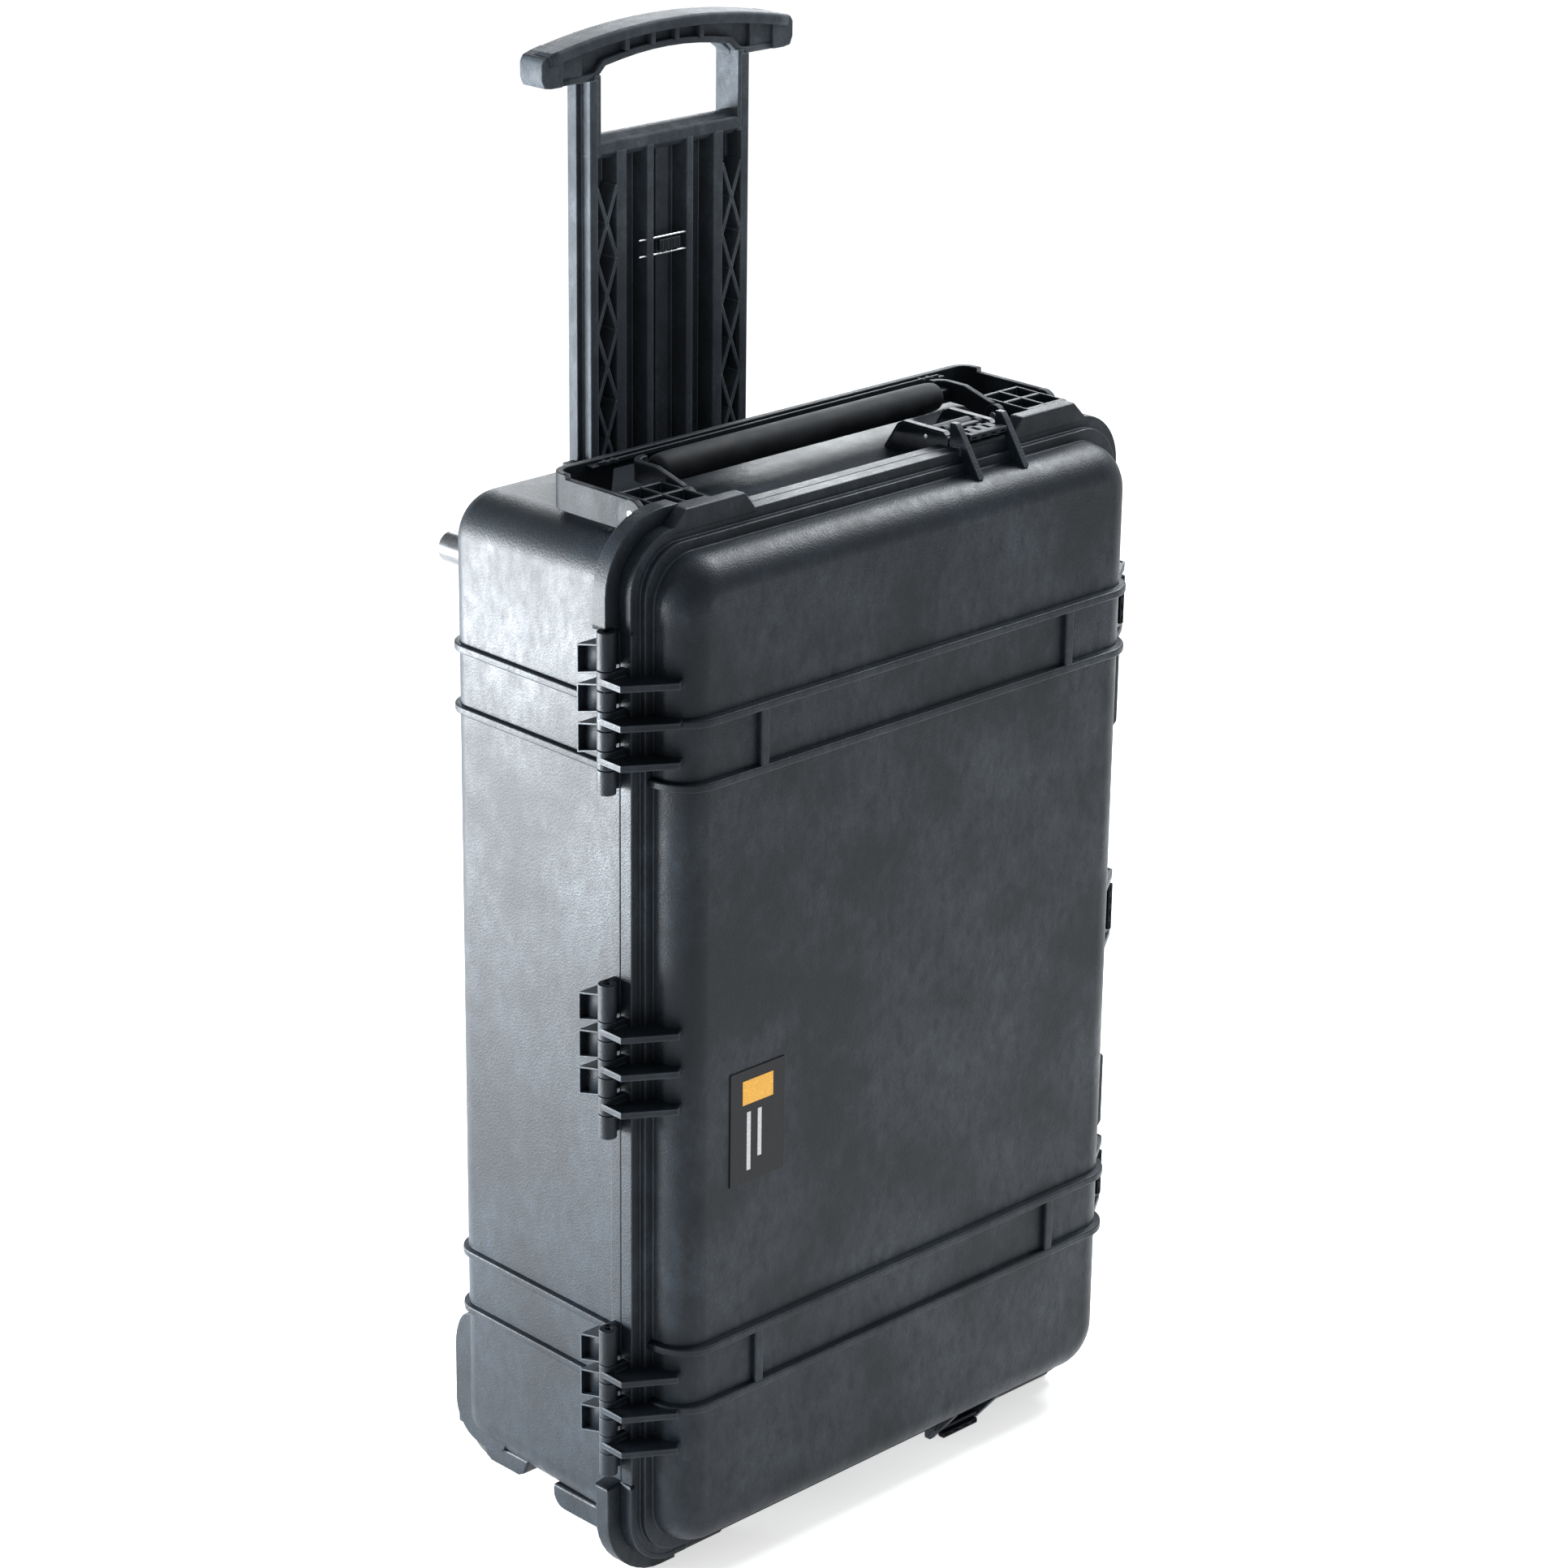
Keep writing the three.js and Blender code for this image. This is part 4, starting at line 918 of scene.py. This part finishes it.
def trolley_grip():
    """The T grip's back, with a raised rim along its top and a lip round the window."""
    rim_y = PANEL_FRONT + 8
    right, shoulder = grip_side(0.6), (WINDOW_HALF + 8, GRIP_LOW + 2.1)
    notch = [shoulder] + window_arch()[::-1] + mirrored([shoulder])
    back = prism(right + notch + mirrored(right[1:]), "y", (rim_y, PANEL_BACK))
    make_piece("trolley_grip_back", back, "trolley", TROLLEY, bevel=3, segments=4)
    path = [(x, rim_y, grip_arc(x, 4.8)) for x in evenly(-GRIP_HALF + 7, GRIP_HALF - 7, 24)]
    rim = sweep(path, soft_rectangle((-4.3, 4.3), (-10, 8), 3), side=-1, across=(0, 1, 0))
    make_piece("trolley_grip_rim", rim, "trolley", TROLLEY)
    right_end = [(WINDOW_HALF + 9, GRIP_LOW + 4.2), (104, GRIP_LOW + 4.2)]
    path = [(x, rim_y, z) for x, z in mirrored(right_end) + window_arch(3.2)[1:-1] + right_end]
    lip = sweep(path, soft_rectangle((-2.4, 2.4), (-6, 7.4), 1.6), side=-1, across=(0, 1, 0))
    make_piece("trolley_grip_lip", lip, "trolley", TROLLEY)


def trolley_grip_fill():
    """Inside the T grip's front: solid ends, floors beside them and walls between the cells."""
    inset, inner = 0.4, 100
    end = grip_side(inset, inner) + [(inner, GRIP_LOW + 1.5 + inset)]
    ledge = [(80, GRIP_LOW + 3), (102, GRIP_LOW + 3), (102, grip_arc(102, 8)), (80, grip_arc(80, 8))]
    for side, name in SIDES:
        outline = [(side * x, z) for x, z in end]
        block = prism(outline, "y", (PANEL_FRONT + inset, PANEL_BACK - inset))
        make_piece(f"trolley_grip_end_{name}", block, "trolley", TROLLEY, bevel=4.5, segments=4)
        outline = [(side * x, z) for x, z in ledge]
        block = prism(outline, "y", (PANEL_FRONT + 3.5, PANEL_FRONT + 12))
        make_piece(f"trolley_grip_floor_{name}", block, "trolley", TROLLEY, bevel=1)
    cells = Solid()
    for x in (-39.5, -15, 7.6, 31):
        heights = (grip_arc(x, 17.5), grip_arc(x, 7))
        cells.add(box((x - 2, x + 2), (PANEL_FRONT + 1.2, PANEL_FRONT + 12), heights))
    make_piece("trolley_grip_cells", cells, "trolley", TROLLEY, bevel=1)


def trolley_clip():
    low, high = cad_box("trolley_clip_wire")
    y = (low.y + high.y) / 2
    wires = Solid()
    for height in (low.z + 1.5, high.z - 1.5):
        wires.add(rod((-29, 21), 0.8, (0, y, height), "x", 0.3, 12))
    make_piece("clip_wire", wires, "trolley", STEEL, ("trolley_clip_wire",))
    low, high = cad_box("trolley_clip_block")
    block = Solid().add(box((low.x, high.x), (low.y, high.y), (low.z, high.z)))
    for x in (-8, -3, 3, 8):
        block.add(box((x - 1.2, x + 1.2), (low.y - 0.2, high.y), (low.z + 0.3, high.z - 0.3)))
    make_piece("clip_block", block, "trolley", TRIM, ("trolley_clip_block",), bevel=0.6)


def rails():
    """Channels on the base that the panel slides in."""
    for side, name in SIDES:
        low, high = cad_box(f"trolley_rail_{name}")
        wall = side_span(side, (PANEL_HALF + 1.2, PANEL_HALF + 12))
        lip = side_span(side, (PANEL_HALF - 3.5, PANEL_HALF + 11))
        solid = Solid().add(box(wall, (BACK - 1, high.y), (low.z, high.z)))
        solid.add(box(lip, (PANEL_FRONT + 4.7, PANEL_FRONT + 13.3), (low.z, high.z)))
        make_piece(f"rail_{name}", solid, "base", TROLLEY, (f"trolley_rail_{name}",), bevel=1.2)


# -------------------- wheels
def wheels():
    """On each side a tyre, a hub and a bearing that turn, and a fixed axle."""
    half_tread = [(1.4, 29), (2, 30), (13, 30), (16, 27), (16, 17.3)]
    rings = (("tyre", TYRE, mirrored(half_tread) + half_tread, 1.2, 64),
             ("hub", TRIM, rectangle((-14, 14), (11.3, 17)), 0.8, 48),
             ("bearing", BEARING, rectangle((-13, 13), (4.3, 11)), 0.6, 40))
    for side, name in SIDES:
        centre = wheel_centre(side)
        for part, material, outline, soft, steps in rings:
            ring = lathe(soften(outline, soft, closed=True), centre, "x", steps, hollow=True)
            make_piece(f"{part}_{name}", ring, f"wheel_{name}", material, (f"wheel_{part}_{name}",))
        low, high = cad_box(f"wheel_axle_{name}")
        steel_pin(f"axle_{name}", "base", f"wheel_axle_{name}", (low.x, high.x), 4,
                  (0, centre.y, centre.z), soft=0.8, steps=28)


# -------------------- seal, valve, label
def gasket():
    low, high = cad_box("lid_gasket")
    corners = rectangle((GASKET_INSET, 10.2), (low.y, high.y))
    section = [(inset, y, RIM_RADIUS - inset) for inset, y in corners]
    rings = shell_rings(soften(section, 1.2, closed=True))
    make_piece("gasket", loft(rings, loop=True), "lid", SEAL, ("lid_gasket",))


def pressure_valve():
    """The valve through the base's wall, and its hexagon nut inside."""
    low, high = cad_box("pressure_valve")
    centre = (0, (low.y + high.y) / 2, (low.z + high.z) / 2)
    face = high.x
    profile = [(low.x, 0.3), (low.x, 7), (face - 8, 7), (face - 8, 13), (face - 1, 13), (face, 11.5),
               (face, 9), (face - 2, 8), (face - 2, 0.3)]
    valve = lathe(soften(profile, 0.8), centre, "x", 48)
    make_piece("valve_body", valve, "base", TRIM, ("pressure_valve",))
    low, high = cad_box("pressure_valve_nut")
    hexagon = lathe(rectangle((low.x, high.x), (7.4, 12)), centre, "x", 6, hollow=True)
    make_piece("valve_nut", hexagon, "base", TRIM, ("pressure_valve_nut",), bevel=0.5)


def label():
    """A dark plate with a block and two bars of print."""
    low, high = cad_box("label_plate")
    plate = box((low.x, high.x), (low.y, high.y + 0.2), (low.z, high.z))
    make_piece("label_sheet", plate, "lid", LABEL, ("label_plate",), bevel=0.2)
    width, print_depth = high.x - low.x, (low.y - 0.08, low.y + 0.2)
    accent = box((low.x + 0.22 * width, high.x - 0.22 * width), print_depth, (high.z - 26, high.z - 8))
    make_piece("label_accent_bar", accent, "lid", ACCENT)
    lines = Solid()
    bar_top = high.z - 32
    for share, length in ((0.3, 44), (0.5, 36)):
        x = low.x + share * width
        lines.add(box((x, x + 0.07 * width), print_depth, (bar_top - length, bar_top)))
    make_piece("label_pale_bars", lines, "lid", PALE_PRINT)


# -------------------- stage
CAMERA_PLACE = (-2.1186, -2.1432, 1.6567)
CAMERA_AZIMUTH, CAMERA_ELEVATION, CAMERA_ROLL = radians(-44.727), radians(20.63), radians(0.694)
CAMERA_LENS = 102.88


def camera():
    data = bpy.data.cameras.new("camera")
    data.lens = CAMERA_LENS
    data.sensor_width = 36
    data.clip_end = 100
    eye = new_object("camera", data)
    level, rise = CAMERA_AZIMUTH, CAMERA_ELEVATION
    ahead = Vector((-sin(level) * cos(rise), cos(level) * cos(rise), -sin(rise)))
    right = Vector((cos(level), sin(level), 0))
    up = right.cross(ahead)
    tilted_right = right * cos(CAMERA_ROLL) + up * sin(CAMERA_ROLL)
    tilted_up = up * cos(CAMERA_ROLL) - right * sin(CAMERA_ROLL)
    turn = Matrix((tilted_right, tilted_up, -ahead)).transposed()
    eye.matrix_world = Matrix.Translation(CAMERA_PLACE) @ turn.to_4x4()
    bpy.context.scene.camera = eye


def floor():
    span = (-30, 30)
    mesh = bpy.data.meshes.new("floor")
    mesh.from_pydata([(x, y, 0) for x, y in rectangle(span, span)], [], [(0, 1, 2, 3)])
    made = Nodes("pale_floor")
    speckle = made.noise(made.place(), 30, 3, 0.5)
    mesh.materials.append(made.drive(colour=made.mix(speckle, (0.86, 0.86, 0.865), (0.89, 0.89, 0.89))))
    made.shader.inputs["Roughness"].default_value = 0.9
    made.shader.inputs["Specular IOR Level"].default_value = 0.1
    made.shader.inputs["Emission Color"].default_value = (1, 1, 1, 1)
    made.shader.inputs["Emission Strength"].default_value = 0.6
    plane = new_object("floor", mesh)


def softbox(name, place, target, size, power):
    data = bpy.data.lights.new(name, "AREA")
    data.color = (0.93, 0.97, 1.0)
    data.shape = "RECTANGLE"
    data.size, data.size_y = size
    data.energy = power
    light = new_object(name, data)
    light.location = place
    light.rotation_mode = "QUATERNION"
    light.rotation_quaternion = (Vector(target) - Vector(place)).to_track_quat("-Z", "Y")
    light.visible_camera = False


def lighting():
    world = bpy.data.worlds.new("studio")
    world.use_nodes = True
    background = world.node_tree.nodes["Background"]
    background.inputs["Color"].default_value = (1, 1, 1, 1)
    background.inputs["Strength"].default_value = 0.5
    bpy.context.scene.world = world
    bpy.context.scene.view_settings.view_transform = "Standard"
    softbox("left_box", (-1.55, 1.4, 0.3), (0, 0, 0.6), (1.3, 0.8), 225)
    softbox("back_box", (1.3, 1.45, 1.55), (0, 0, 0.8), (1.2, 0.6), 34)
    softbox("right_box", (1.5, 0.0, 2.1), (0.1, 0, 0.75), (1.2, 0.9), 70)


camera()
floor()
lighting()
lid_shell()
rim_blocks()
rim_guards()
hinges()
base_shell()
wheel_housings()
feet()
latches()
handles()
trolley()
rails()
wheels()
gasket()
pressure_valve()
label()
